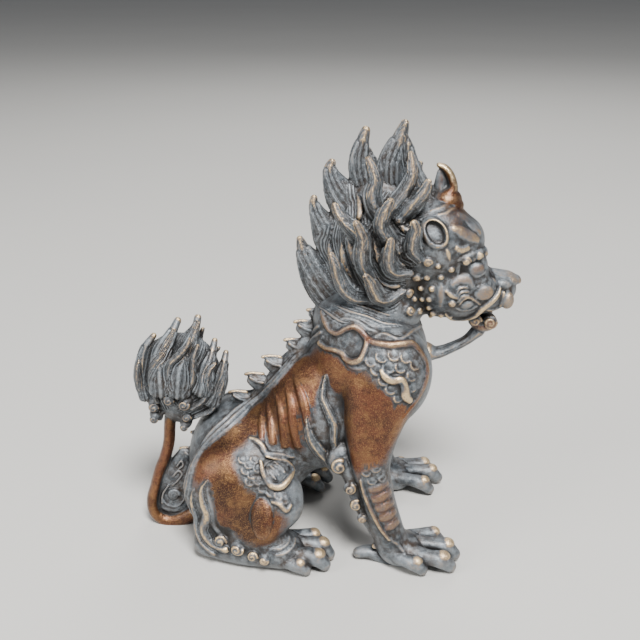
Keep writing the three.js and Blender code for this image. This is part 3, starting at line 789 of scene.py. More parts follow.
class QILIN_OT_collar(bpy.types.Operator):
    """Model the collar: wavy cape edge, cloud ribbon and breast scales"""

    bl_idname = "qilin.collar"
    bl_label = "Collar and scales"

    def execute(self, context):
        MODEL["part"] = "body"
        edge = marks("0.9 -10.5 116.3, 2.2 -15.1 113.4, 4.8 -19 110.8, 7.8 -21.4 110.8, "
            "11.2 -22.5 113.2, 14.6 -22.9 114.3, 17.6 -24.1 112.9, 20.6 -26.5 110.2, 23.9 -28.9 109.4, "
            "29.7 -30.4 109.1, 34.9 -29.6 109.2, 39.3 -27.9 108.5, 42.9 -28.1 104.8, 45.7 -28.3 99.2, "
            "45.8 -29.7 93.2, 43.7 -31.6 87.9, 40.3 -33 82.3, 36 -35.4 76.8")
        width = [0.9, 1.1, 1.2, 1.2, 1.3, 1.4, 1.4, 1.5, 1.6, 1.7, 1.7, 1.6, 1.3, 1.2, 1.2, 1.1, 1.0, 0.6]
        band(edge, width, thick=0.75, proud=0.35, rub=0.3, bare=0.75)
        ribbon = marks("0.4 -14.3 103, 3.1 -18.5 102.4, 6.5 -21.8 103, 9.5 -24.2 102.6, "
            "11.7 -26.5 100.8, 14.6 -29.1 100.6, 17.5 -30.5 102.6, 19.2 -29.4 105.9, 20.1 -27.5 108.8, "
            "19.3 -25.4 111.1")
        band(ribbon, [1.5, 1.3, 1.3, 1.4, 1.6, 1.7, 1.6, 1.4, 1.3, 1.0], thick=0.85, proud=0.5,
            rub=0.6, bare=0.6)
        drop = marks("25.9 -35.1 99.6, 27.6 -35.9 97.2, 30.6 -36.2 95.5, 34.4 -35.8 95.3, "
            "35.8 -35.8 91.9, 36.4 -35.7 88.1, 38.3 -34.7 85.2")
        band(drop, [0.8, 1.6, 1.8, 1.8, 1.9, 2.2, 1.5], thick=0.75, proud=0.8, rub=1.3)
        band(marks("23.1 -26.6 111.2 0.6, 26.9 -26.2 112.4 0.9, 30.7 -27.7 111.7 0.9, "
            "34.1 -28.1 110.9 0.9, 38.3 -24.3 111.6 0.9, 43.3 -9.5 108.2 0.7, 46.4 -0.2 105.5 0.5"),
            proud=0.1, rub=0.35)
        band(marks("5.2 -17.9 114.5 0.5, 10.8 -19.9 116.8 0.9, 16.4 -21.9 116.2 1, "
            "20.6 -23.8 113.7 0.9, 24.9 -25.1 112.9 0.5"), rub=0.15)
        band(marks("10.8 -25.6 101.3 0.6, 12.5 -28.3 98.3 0.9, 16.3 -31.6 98.4 0.9, "
            "19.6 -33.1 99.6 0.5"), rub=0.1)
        for x, y, z, size in marks("21.7 -32.8 102.8 2.3, 26.3 -32.8 105.1 2.6, 31.4 -32.8 105.6 2.5, "
            "36.5 -32.4 104.4 2.4, 24.2 -34.7 99.9 2.6, 29.2 -34.9 101 2.6, 34.3 -34.5 100.8 2.4, "
            "40.5 -32.1 101 2.4, 27.2 -36.2 95.5 2.3, 30.2 -36.7 91.5 2.2, 39.2 -34 96.7 2.4, "
            "39.8 -34.3 91.2 2, 33.3 -36.7 87.2 1.8"):
            scale_on((x, y, z), size, heading=-125)
        for course, width in [
            (marks("6.1 -12.1 120.2, 13 -18.1 119.3, 20.3 -20.3 117.9, 28 -21.5 115.1, "
                "35.5 -20.3 113.7"), 1.5),
            (marks("11.4 -13.5 121.7, 20 -16.7 120.6, 28.7 -17.3 117.6, 37 -13 114.4"), 1.3),
            (marks("-0.9 -4.2 116.7, 3.5 -13.7 117.1, 8.7 -19.6 115.7, 13.8 -22.1 115.3"), 1.3),
            (marks("23.6 -14 121.9, 31.5 -13.8 119.5, 39 -9.6 115.9, 44 -0.2 109.8"), 1.3),
        ]:
            band(course, [0.5] + [width] * (len(course) - 2) + [0.5], thick=0.45, rub=0.15, flow=2)
        return {"FINISHED"}


# Legs and paws

HAUNCH_SCALES = marks("-34.4 -32 54.2, -31.6 -33.2 52.4, -32.9 -34.9 50.4, -30.3 -35.5 48.6, "
    "-27.7 -33.5 50.5, -31.1 -37 45.9, -27.6 -36.1 45.9, -25.4 -37.1 42.4, -24.1 -35.3 45.4, "
    "-21.8 -38.3 41.1, -18.2 -39.4 40.2, -22.3 -36.5 43.6, -15.6 -40 38.5, -29.1 -31.3 53.8")


class QILIN_OT_legs(bpy.types.Operator):
    """Model the paws and the flames, curls, plates and scales on the legs"""

    bl_idname = "qilin.legs"
    bl_label = "Legs and paws"

    def execute(self, context):
        MODEL["part"] = "body"
        self.front_paw()
        self.hind_paw()
        self.flames()
        self.foreleg()
        self.haunch()
        return {"FINISHED"}

    def toe(self, course, half, knuckle=0.5, claw=0.9):
        """A toe from root to tip, with a knuckle and a blunt claw."""
        centre = through(course, 30)
        width = through([half * 1.05, half * 0.92, half * 1.05, half * 0.8], 30)
        tube(centre, np.hstack([width, width * 0.95]), UP, around=20)
        at = centre[21] + UP * half * 0.55
        boss(at, (half * 0.95, half * 0.85, half * 0.75), rub=knuckle)
        nail = centre[-1] + (centre[-1] - centre[-4]) * 0.25
        boss(nail - UP * half * 0.1, (half * 0.55, half * 0.5, half * 0.55), rub=claw)

    def front_paw(self):
        self.toe([(33, -37, 7.5), (38, -41.5, 7), (43, -43.3, 6), (46.5, -44, 3.4)], 3.4)
        self.toe([(40, -37, 8.5), (49, -40, 7.5), (55, -41, 6.5), (59.5, -41.5, 3.6)], 3.9)
        self.toe([(41, -31, 9), (51, -32, 8.5), (58, -32.5, 7.5), (62.5, -33, 4.0)], 3.9)
        self.toe([(40, -26, 8), (47, -24, 8), (53, -22.5, 7), (57, -22, 3.8)], 3.6)
        dew = through(marks("33.8 -0.1, 28.1 2.2, 22.5 3.9, 17.8 3.3", -31), 24)
        tube(dew, through([(4.6, 5.6), (3.6, 4.6), (2.9, 3.6), (2.4, 2.8)], 24), OUTWARD)
        boss(marks("25.7 -34.2 9.3")[0], (1.8, 1.6, 1.5), rub=0.7)

    def hind_paw(self):
        self.toe([(-24, -38, 6), (-16, -41.5, 6), (-10, -43, 5), (-6.5, -44, 3.2)], 3.4)
        self.toe([(-18, -37, 8.5), (-9, -39, 8), (-2, -40, 7), (2.0, -40.5, 3.8)], 4.0)
        self.toe([(-18, -31, 9.5), (-8, -32, 9), (0, -32.5, 7.8), (4.0, -33, 4.0)], 4.1)
        self.toe([(-20, -26, 8), (-11, -25, 8), (-4, -24, 7), (0, -23.5, 3.8)], 3.7)
        for course in (
            marks("-19.9 -43.6 10.6, -15.4 -42.7 11.6, -11.9 -38.7 13, -11.5 -34.6 13.8"),
            marks("-22.7 -41.9 13.1, -18.1 -42 13.2, -14.6 -39.2 14.4, -14.2 -35.5 15.6"),
        ):
            band(course, [0.4, 0.7, 0.7, 0.4], rub=0.2)

    def flames(self):
        band(marks("6.9 -14.8 41 2.4, 3.2 -25.6 50.9 2.8, -0.9 -28.6 57.9 2.8, -4 -29.2 63.8 2.3, "
            "-5.3 -28.6 69.6 1.4, -5.8 -27.5 74 0.6"), thick=0.75, proud=1.1, rub=0.55, flow=4)
        band(marks("10.4 -14.1 42.3 1.8, 7.7 -26.8 55.8 2, 6.2 -29 63.2 2.1, 6.2 -29.1 70.3 2.3, "
            "3.5 -27.9 76.7 2.1, 1.3 -25.7 81.5 1.7, 1.8 -23.2 86.2 1.1, 3.1 -22.5 91.2 0.5"),
            thick=0.8, proud=0.9, rub=0.55, flow=4)
        band(marks("13.7 -33.2 49.6 0.5, 11 -22.6 50.7 0.9, 9.4 -28.5 61.9 1, 9.3 -29.3 70 0.9, "
            "7.5 -27.8 76.6 0.5"), rub=0.05)

    def foreleg(self):
        strip = marks("11.2 52.1, 14.5 43.7, 17.3 34.7, 20.7 26.1, 25 17.3, 29.4 8.4", -31)
        half = through([(4.0, 6.0), (3.8, 5.6), (3.8, 5.2), (3.6, 4.8), (3.2, 4.6), (2.6, 4.0)], 50)
        tube(through(strip, 50), half, OUTWARD, around=24)
        boss(marks("9.5 52.4", -28)[0], (6.5, 6.0, 8.5))
        curls = marks("8.4 53.7 4, 13.4 41.8 3, 16.2 33.4 3.1, 19 25.9 2.4", -37)
        for (x, y, z, radius), hand in zip(curls, (1, -1, 1, -1)):
            axes = np.array([FORWARD, np.cross(OUTWARD, FORWARD), OUTWARD])
            curl(np.array([x, y + 0.8, z]), axes, radius, hand=hand, rub=0.6, start=1.2)
        band(marks("18.1 -39.7 48.2 0.5, 19.5 -39.7 43 0.8, 21.4 -40 37.5 0.95, 24.2 -40.3 30.3 0.95, "
            "27.5 -40.3 23.3 0.95, 31.3 -40.1 17.2 0.7"), thick=1.1, proud=0.5, rub=0.6, bare=0.6)
        band(marks("31.3 -40.1 17.8 0.8, 35.1 -39.6 14.1 0.9, 38.7 -41.2 9.9 0.5"), proud=0.1, rub=0.5)
        for course in (
            marks("22.1 -40.8 43.8, 25.6 -40.9 44.9, 29.6 -38.7 46.5"),
            marks("23.5 -40.9 38.6, 27 -40.9 39.7, 31.2 -38.2 41.5"),
            marks("25.4 -41 33.9, 29 -40.7 34.8, 32.7 -37.7 35.9"),
            marks("27.3 -40.8 28.5, 30.5 -40.4 29.3, 33.8 -37.8 30.7"),
            marks("29.7 -40.4 23.4, 32.5 -39.8 24.1, 35.3 -37.4 25.1"),
        ):
            band(course, [1.5, 2.05, 1.6], thick=0.4, proud=0.1, rub=0.15, bare=0.8)
        for place in marks("20.1 -40.8 53, 24.5 -40.8 55, 22.8 -41 49, 27.3 -39.9 49.9"):
            scale_on(place, 1.9, heading=-90, rub=0.4)

    def haunch(self):
        band(marks("-43.1 -37.9 10.2 2.2, -49.7 -35.5 12.3 2.4, -52.8 -34.2 19.1 2.5, "
            "-50.7 -36.3 28.1 2.5, -52.2 -36.2 35 2.1, -52.5 -35.3 40.7 1.4, -50 -35 45.2 0.5"),
            thick=0.8, proud=0.4, rub=0.7, flow=3)
        band(marks("-44.9 -36 16 1.2, -48.3 -35.8 22.4 1.4, -48.5 -37.7 32.3 1.3, -50.1 -36.8 39.1 1, "
            "-50.1 -35.8 43.1 0.5"), rub=0.15)
        band(marks("-48.9 -36.6 7.5 1.8, -54.1 -34 11.7 1.9, -56.3 -31.9 18.5 1.8, "
            "-56.9 -31.5 25.9 1.6, -57.8 -32.2 32.9 1.2, -57 -32.6 38.9 0.5"), thick=0.8, proud=0.3,
            rub=0.35, flow=3)
        for (x, y, z, radius), hand in zip(marks("-45.4 -36.1 13.8 3.4, -37.4 -40.1 12.3 3.4, "
            "-30.5 -41.8 9.2 2.8, -25.4 -43 7.9 2.4"), (1, -1, 1, -1)):
            curl_on((x, y, z), radius, hand=hand, rub=0.9)
        shin = marks("-25.9 -42.4 29.6")[0]
        axes = axes_at(shin)
        boss(np.array(shin) + axes[2] * 0.1, (5.2, 9.5, 1.8), axes, bare=1.0)
        lobe = marks("-19.3 -32.1 47.6")[0]
        axes = axes_at(lobe)
        boss(np.array(lobe) + axes[2] * 0.3, (6.2, 5.4, 2.5), axes, rub=0.2)
        rim = marks("-26.8 -31.4 52.9, -25.9 -33.7 49.1, -24.1 -35.1 45.8, -20.9 -36.9 43.3, "
            "-17.4 -37.4 43.1, -14.3 -34.3 44.8, -13.2 -28.1 46.1, -15.4 -27.6 50.6, -19.8 -28.9 52.4, "
            "-24.2 -29.8 53.9")
        band(rim, [0.7, 1.2, 1.5, 1.7, 1.7, 1.4, 1.1, 0.9, 0.8, 0.6], thick=0.9, proud=1.3, rub=0.75)
        for vein in (marks("-24.2 -31.5 51.4, -21.1 -32 48.5, -18.3 -34.3 45.8"),
            marks("-21.6 -30 52, -18.5 -30.5 48.7, -16.2 -33 46"),
            marks("-23.3 -33.2 48.2, -21 -34.4 45.9, -19.2 -35.8 44.7")):
            band(vein, [0.3, 0.6, 0.3], proud=2.6, rub=0.3)
        band(marks("-31.6 -23.8 60.3 0.7, -27.9 -25.5 59.2 1.3, -25.2 -27.6 56.8 1.3, "
            "-24.2 -29.5 54.3 0.9"), proud=0.4, rub=0.7)
        band(marks("-26.1 -27.8 56.9 0.8, -23.4 -28.7 54.9 1.2, -18 -27.6 53.7 1.2, "
            "-12.2 -26.2 51.8 0.6"), proud=0.5, rub=0.5)
        band(marks("-21.3 -40.5 37.3 0.6, -18.2 -41.2 36.7 1.1, -15.1 -41.9 34 1.1, "
            "-12.9 -40.4 35.7 0.6"), proud=0.4, rub=0.6)
        for place in HAUNCH_SCALES:
            scale_on(place, 2.0, heading=-125, rub=0.5)


# Tail

TAIL_LOCKS = [
    # marks with the half width, how far the tip stands out
    (marks("-79.5 68.2 1.2, -82.8 73.4 1.3, -83.8 79.6 1.4, -83.7 85.7 1.3, -83 89.8 0.7", -8), 5),
    (marks("-80.2 71.4 2.6, -82.9 80.3 2.4, -81.7 89.1 2.3, -79.9 95.7 1.9, -76.3 100.7 1.2", 0), 0),
    (marks("-72.3 77.7 3.4, -72.4 89.1 3.4, -70 98.2 2.6, -66.9 104.2 1.9, -64.8 108.2 1.5", 0), 0),
    (marks("-64.7 77.7 3.4, -63.2 89.1 3.4, -59.5 97.2 2.6, -56.8 104.2 1.8, -55.6 109.6 1.5", 0), 0),
    (marks("-54.4 77.7 3.2, -52.2 86 2.8, -50 92.1 2, -48.4 98.2 1.2", 0), 0),
    (marks("-51 71.4 3, -46.4 79.8 2.6, -44.7 86.5 1.8, -43.5 92.1 1.2", 0), 0),
    (marks("-75.2 71.3 1.2, -76.7 77.5 1.3, -77.1 84.1 1.3, -74.9 90.2 1.3, -71.9 94.2 1.1, "
        "-69.9 97.2 0.6", -10), 9),
    (marks("-65.9 76.5 1.3, -67.8 81.6 1.4, -68.4 87.1 1.4, -67.2 92.1 1.4, -63.4 95.6 1.4, "
        "-60 99.5 1.2, -58.5 102.9 0.7", -12), 10),
    (marks("-61.3 76.5 1.2, -59.3 80.1 1.3, -57.7 84.6 1.3, -57.3 90.6 1.3, -56.6 95.6 1.2, "
        "-55.1 99.5 0.8", -12), 10),
    (marks("-59 68.8 1.3, -54.2 72.4 1.5, -51.2 78 1.6, -51.4 83.1 1.4, -50.2 87.6 1.3, "
        "-47.9 90.1 0.8", -12), 9),
    (marks("-57.8 63 1.3, -51.1 66.1 1.5, -47.6 72.4 1.5, -45.5 78.6 1.3, -43.9 83.2 0.8", -9), 6),
    (marks("-72.2 84.8 1.2, -72.6 92.8 1.3, -69.9 98.8 1.2, -66.9 103.8 0.6", -6), 5),
    (marks("-59.9 86.3 1, -60.3 95.4 1.2, -57.7 101.4 1.2, -55.5 107.3 0.6", -5), 3),
]
TAIL_CURLS = marks("-77.2 -8 67.7 2.7, -77.7 -8 61.4 2.1, -69.3 -12 73.4 2.8, -62.5 -12 71.4 2.9, "
    "-62.2 -8 62.4 2.5, -63.9 -8 57.1 2")
STEM = marks("-70.8 62.9, -71.9 54.3, -73 44.4, -75.4 36.1, -78.4 28.7, -80.9 20.1, -82.9 12.6, "
    "-81.9 5.6, -77.2 1.4, -70.2 1.4, -62 5.6", 0)


class QILIN_OT_tail(bpy.types.Operator):
    """Model the tail: stem, curled web and the fan of flames"""

    bl_idname = "qilin.tail"
    bl_label = "Flame tail"

    def execute(self, context):
        MODEL["part"] = "tail"
        half = [(3.0, 4.0), (2.8, 3.6), (2.8, 3.6), (2.8, 3.7), (2.8, 3.9), (2.8, 4.2), (3.0, 4.5),
            (3.4, 5.0), (3.7, 5.2), (4.2, 5.5), (4.8, 6.0)]
        tube(through(STEM, 90), through(half, 90), OUTWARD, around=26, bare=0.95, pair=False)
        web = marks("-65.5 39.4, -68.5 29.9, -71.6 20.1, -72.8 7.9", 0)
        tube(through(web, 40), through([(3.0, 2.2), (6.6, 2.4), (8.4, 2.6), (8.0, 3.2)], 40), OUTWARD,
            around=26, pair=False)
        upright = np.array([FORWARD, UP, OUTWARD])
        for course in (
            marks("-69.4 32.8, -67.3 35.6, -66.4 33.4, -68.5 31.2", -3),
            marks("-71.6 27.2, -69 30, -67.2 28.3, -69.3 24.9, -72 22.1", -3),
            marks("-77.4 14, -75.2 10.5, -70.7 9.9, -67.1 13.4", -3),
            marks("-74.4 21.5, -77.2 16.9, -78 11.7", -3),
        ):
            tube(through(course, 30), np.full((30, 2), 0.55), OUTWARD, around=10, rub=0.2)
        curl(np.array(marks("-71.8 16.9", -3)[0]) + OUTWARD * -0.4, upright, 3.4, turns=2.0, rub=0.2,
            lift=0.6)
        for marked, tip_out in TAIL_LOCKS:
            middle = marked[0][1] == 0
            strands, thick = (4, 0.95) if middle else (3, 1.2)
            lock(marked, strands, thick=thick, tip_out=tip_out, skirt=0.7, rub=0.9, pair=not middle)
        for i, (x, y, z, radius) in enumerate(TAIL_CURLS):
            boss((x + 0.6, y + 4.2, z + 1.2), (radius * 1.5, 5.6, radius * 1.7))
            curl(np.array([x, y - 0.4, z]), upright, radius, hand=(-1) ** i, rub=1.2, lift=0.8)
        collar = marks("-75.2 60.8, -73.6 64.5, -69.3 66.1, -65.2 64, -64 59.7", -6)
        tube(through(collar, 30), np.full((30, 2), 1.3), OUTWARD, around=14, rub=0.1)
        return {"FINISHED"}


# Casting: the wax of each part joined in one skin

BROWN_ZONES = [
    marks("-11.1 0.4 92, -3.6 -7.4 98.4, 3.5 -19.3 101.8, 12.1 -28 98.2, 18.8 -32.9 99.1, "
        "26.4 -36.4 93.7, 34.2 -36.4 87, 39.3 -33.7 82.7, 38.9 -28.8 72.2, 34.1 -35.2 67.8, "
        "30.6 -37.8 61.3, 28 -39.4 55.1, 20.2 -40.8 52, 14.3 -35 48.3, 10.9 -24.3 53.3, 8 -28.8 63.1, "
        "7.1 -28.8 72.2, 5.3 -26.6 80, 3.1 -23.1 88.1, 0.9 -22.5 86.8, -0.9 -25.9 80.6, "
        "-3.5 -27.3 76.4, -10.8 -17 86"),
    marks("-55.1 -20.4 52, -46.9 -16.2 61.1, -38.1 -8.7 66.5, -28.3 -0.4 71.7, -16.6 -4.7 87.2, "
        "-8.1 -14.3 89.7, -3.5 -25.8 79.6, -5.3 -28.9 67.2, -9 -26.3 53.4, -25.3 -22.8 61.8, "
        "-34.3 -24.5 59.6, -38.9 -31 55.2, -36.4 -36.1 49, -30.3 -38.3 41.1, -24.1 -40.1 36, "
        "-14.3 -42.1 31, -15.3 -41.3 24, -19.9 -40.8 16.1, -28.1 -41.8 14.1, -34.4 -41.3 15.9, "
        "-38.1 -39.2 18.3, -44.9 -36 16, -49.3 -35.4 21, -51 -34.7 45, -57.1 -27.9 47.1"),
    marks("-60.2 -27.7 40.6, -56 -29.5 47, -52 -34.3 44.7, -53.1 -35.7 35.2, -53.5 -33.6 23, "
        "-54.3 -34.9 32, -58 -31.3 39.7, -59.5 -30.1 31.4, -58.9 -28 13.5, -59.1 -26.9 18.4"),
]
FOREHEAD = [(48, 0, 160), (52, 0, 170), (66, 0, 170), (62, 0, 158), (55, 0, 156)]
HAIR_ZONE = marks("11.5 -0.4 167.1, 25.4 -6.1 170.2, 49.6 -0.8 166.5, 43.7 -13.8 161, 41.9 -19.2 150.4, "
    "43.9 -19.6 142.6, 37.5 -16.8 138.1, 36.4 -14.8 127.3, 33 -16.8 118.8, 13.3 -8.4 118.3, "
    "4.3 -0.4 120.2, 1.5 -0.2 140.7, 8.1 -0.4 162.2")


def inside(points, outline):
    """Whether each point lies inside an outline, both seen from the side."""
    corners = np.array([(x, z) for x, _, z in outline])
    result = np.zeros(len(points), bool)
    for (x0, z0), (x1, z1) in zip(corners, np.roll(corners, -1, axis=0)):
        spans = (z0 > points[:, 2]) != (z1 > points[:, 2])
        crossing = x0 + (points[:, 2] - z0) * (x1 - x0) / (z1 - z0 if z1 != z0 else 1e-9)
        result ^= spans & (points[:, 0] < crossing)
    return result


def neighbours_mean(values, pairs, rounds):
    """The values averaged over each point's neighbours, several times."""
    count = len(values)
    degree = np.maximum(np.bincount(pairs.ravel(), minlength=count).astype(float), 1.0)
    values = values.reshape(count, -1)
    for _ in range(rounds):
        columns = []
        for column in values.T:
            total = np.bincount(pairs[:, 0], weights=column[pairs[:, 1]], minlength=count)
            total += np.bincount(pairs[:, 1], weights=column[pairs[:, 0]], minlength=count)
            columns.append(0.5 * column + 0.5 * total / degree)
        values = np.stack(columns, axis=1)
    return values


def pairs_of(mesh):
    pairs = np.empty(len(mesh.edges) * 2, np.int32)
    mesh.edges.foreach_get("vertices", pairs)
    return pairs.reshape(-1, 2)


def carried_finish(points, source):
    """The finish of the wax nearest to each point: rub with painted highlight, bare and hair."""
    tree = BVHTree.FromPolygons(source[0].tolist(), source[1].tolist())
    found = [tree.find_nearest(Vector(point)) for point in points]
    faces = source[1][[hit[2] for hit in found]]
    where = np.array([hit[0] for hit in found])
    gaps = np.linalg.norm(source[0][faces] - where[:, None], axis=2)
    weights = 1.0 / np.maximum(gaps, 1e-3)
    weights /= weights.sum(axis=1, keepdims=True)
    return (source[2][faces] * weights[..., None]).sum(axis=1)


def shelter(points, normals, triangles, reach=14.0):
    """How far each point is closed in by the surface around it, from a few rays over its normal. It sets
    where painted shade darkens closed-in places.
    """
    cast = BVHTree.FromPolygons(points.tolist(), triangles.tolist()).ray_cast
    side = unit(np.cross(normals, normals[:, [1, 2, 0]] + np.array([0.1, 0.2, 0.3])))
    other = np.cross(normals, side)
    closed = np.zeros(len(points))
    starts = points + normals * 0.25
    for turn, tilt in [(0.3, 0.35), (1.6, 0.95), (2.9, 0.95), (4.1, 0.95), (5.4, 0.95)]:
        sideways = math.sin(tilt) * (math.cos(turn) * side + math.sin(turn) * other)
        ways = normals * math.cos(tilt) + sideways
        hits = [cast(Vector(start), Vector(way), reach)[3] for start, way in zip(starts, ways)]
        closed += np.array([0.0 if hit is None else 1.0 - hit / reach for hit in hits])
    return closed / 5.0


STRAND_PITCH = 1.5  # mm from strand to strand beside a lock
STRAND_DEPTH = 0.25  # mm cut either way


def nearest(points, places):
    """For each point, which of the places is nearest, and how far away it is."""
    tree = KDTree(len(places))
    for i, place in enumerate(places):
        tree.insert(Vector(place), i)
    tree.balance()
    found = [tree.find(Vector(point)) for point in points]
    return np.array([hit[1] for hit in found]), np.array([hit[2] for hit in found])


def strand_count(points, normals, part):
    """How many strands each point lies away from the middle of the nearest course of hair."""
    places = np.vstack([centre for centre, _, _ in FLOWS[part]])
    ahead = np.vstack([unit(np.gradient(centre, axis=0)) for centre, _, _ in FLOWS[part]])
    half = np.concatenate([half for _, half, _ in FLOWS[part]])
    strands = np.concatenate([np.full(len(half), number, float) for _, half, number in FLOWS[part]])
    near, _ = nearest(points, places)
    across = unit(np.cross(ahead[near], normals))
    away = np.abs(np.einsum("ij,ij->i", points - places[near], across))
    within = np.minimum(away / half[near], 1.0) * strands[near] / 2.0
    return within + np.maximum(away - half[near], 0.0) / STRAND_PITCH


class QILIN_OT_cast(bpy.types.Operator):
    """Join each part's wax in one skin, and work out where it is bare, where it gets rubbed gold and
    painted highlight, and where it gets grime and painted shade
    """

    bl_idname = "qilin.cast"
    bl_label = "Cast"

    def execute(self, context):
        sizes = context.scene.qilin_sizes
        bronze = patinated_bronze(context.scene.qilin_colours)
        grains = {"head": sizes.head_grain, "body": sizes.body_grain, "tail": sizes.tail_grain}
        for part, grain in grains.items():
            flesh = self.finished_flesh(part)
            source = stacked([flesh] + WAX[part])
            casting = joined(f"qilin_{part}", source[0], source[1],
                grain * (1.0))
            shaped(casting, "SMOOTH", factor=0.5, iterations=2)
            self.carve_strands(casting.data, source, part)
            ratio = sizes.triangles / (2.0 * len(casting.data.polygons))
            if ratio < 1.0:
                shaped(casting, "DECIMATE", ratio=ratio)
            self.keep_maps(casting.data, source, part)
            points = read(casting.data, "co")
            points[:, 2] = np.maximum(points[:, 2], 0.0)
            points[:, 0] -= LAYOUT_CENTRE_X
            points *= MM * sizes.scale
            casting.data.vertices.foreach_set("co", points.astype(np.float32).ravel())
            casting.data.update()
            casting.data.polygons.foreach_set("use_smooth", [True] * len(casting.data.polygons))
            casting.data.materials.append(bronze)
            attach(casting, "root")
            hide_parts("qilin")
        return {"FINISHED"}

    def finished_flesh(self, part):
        """The flesh as a shape of wax, brown where it is smooth and haired in the mane."""
        points, triangles = FLESH[part]["points"], FLESH[part]["triangles"]
        finish = np.zeros((len(points), 3))
        if part == "body":
            finish[:, 1] = np.any([inside(points, zone) for zone in BROWN_ZONES], axis=0)
        if part == "head":
            finish[:, 1] = 0.75 * inside(points, FOREHEAD)
            finish[:, 2] = inside(points, HAIR_ZONE)
        if part == "tail":
            finish[:, 2] = 1.0
        return points, triangles, finish

    def carve_strands(self, mesh, source, part):
        """Cut the strands of hair in the surface."""
        points, normals = read(mesh, "co"), read(mesh, "normal")
        hair = carried_finish(points, source)[:, 2]
        if part != "head":
            hair = self.nearby_hair(points, part, hair)
        count = strand_count(points, normals, part)
        height = STRAND_DEPTH * (np.cos(2 * math.pi * count) - 0.2) * ramp(hair, 0.3, 0.9)
        points += normals * height[:, None]
        mesh.vertices.foreach_set("co", points.astype(np.float32).ravel())
        mesh.update()

    def nearby_hair(self, points, part, marked):
        """Hair on body and tail: only close to a course."""
        places = np.vstack([centre for centre, _, _ in FLOWS[part]])
        half = np.concatenate([half for _, half, _ in FLOWS[part]])
        near, away = nearest(points, places)
        away = away / half[near]
        reach = 6.0 if part == "tail" else 1.3
        return (1.0 - ramp(away, reach * 0.8, reach)) * ramp(marked, 0.3, 0.8)

    def keep_maps(self, mesh, source, part):
        """Keep on the mesh what the finish reads: wear with painted highlight, height, hollows for painted
        shade and grime, bare skin and strands.
        """
        points, normals, pairs = read(mesh, "co"), read(mesh, "normal"), pairs_of(mesh)
        finish = carried_finish(points, source)
        if part != "head":
            finish[:, 2] = self.nearby_hair(points, part, finish[:, 2])
        # How far each point stands over its surroundings, in mm, close by and further round.
        fine = points - neighbours_mean(points, pairs, 4)
        broad = points - neighbours_mean(points, pairs, 24)
        wide = points - neighbours_mean(points, pairs, 90)
        fine, broad, wide = (np.einsum("ij,ij->i", level, normals) for level in (fine, broad, wide))
        crest = 0.45 * ramp(fine, 0.02, 0.14) + 0.7 * ramp(broad, 0.08, 0.7)
        hollow = 0.6 * ramp(-fine, 0.02, 0.14) + 0.7 * ramp(-broad, 0.05, 0.5) + 0.6 * ramp(-wide, 0.2, 1.5)
        # Ray-cast closing-in is added to the hollow map. It paints shade into closed-in places, beside the
        # grime and the grey patina of the hollows.
        sheltered = shelter(points, normals, triangles_of(mesh))
        sheltered = neighbours_mean(sheltered, pairs, 3)[:, 0]
        hollow = np.maximum(hollow, 0.5 * hollow + ramp(sheltered, 0.1, 0.5))
        bare = neighbours_mean(finish[:, 1], pairs, 60)[:, 0]
        haired = np.clip(finish[:, 2], 0.0, 1.0)
        values = {
            # Gold on convex crests: partly real wear, partly painted highlight.
            "rub": np.clip(crest * (0.2 + finish[:, 0]), 0.0, 1.0),
            "raised": np.clip(0.6 * ramp(fine, -0.02, 0.12) + 0.7 * ramp(broad, 0.0, 0.6), 0.0, 1.0),
            "hollow": np.clip(hollow, 0.0, 1.0),
            "bare": bare,
            "hair": ramp(haired, 0.3, 0.9),
            "strand": strand_count(points, normals, part),
        }
        for name, value in values.items():
            mesh.attributes.new(name, "FLOAT", "POINT").data.foreach_set("value", value.astype(np.float32))


# Finish


def add_node(tree, kind, settings=None, links=None):
    """Adds a node, sets its properties and input values, and links outputs to its inputs."""
    node = tree.nodes.new(kind)
    for name, value in (settings or {}).items():
        if isinstance(name, str) and hasattr(node, name):
            setattr(node, name, value)
        else:
            node.inputs[name].default_value = value
    for name, output in (links or {}).items():
        tree.links.new(output, node.inputs[name])
    return node


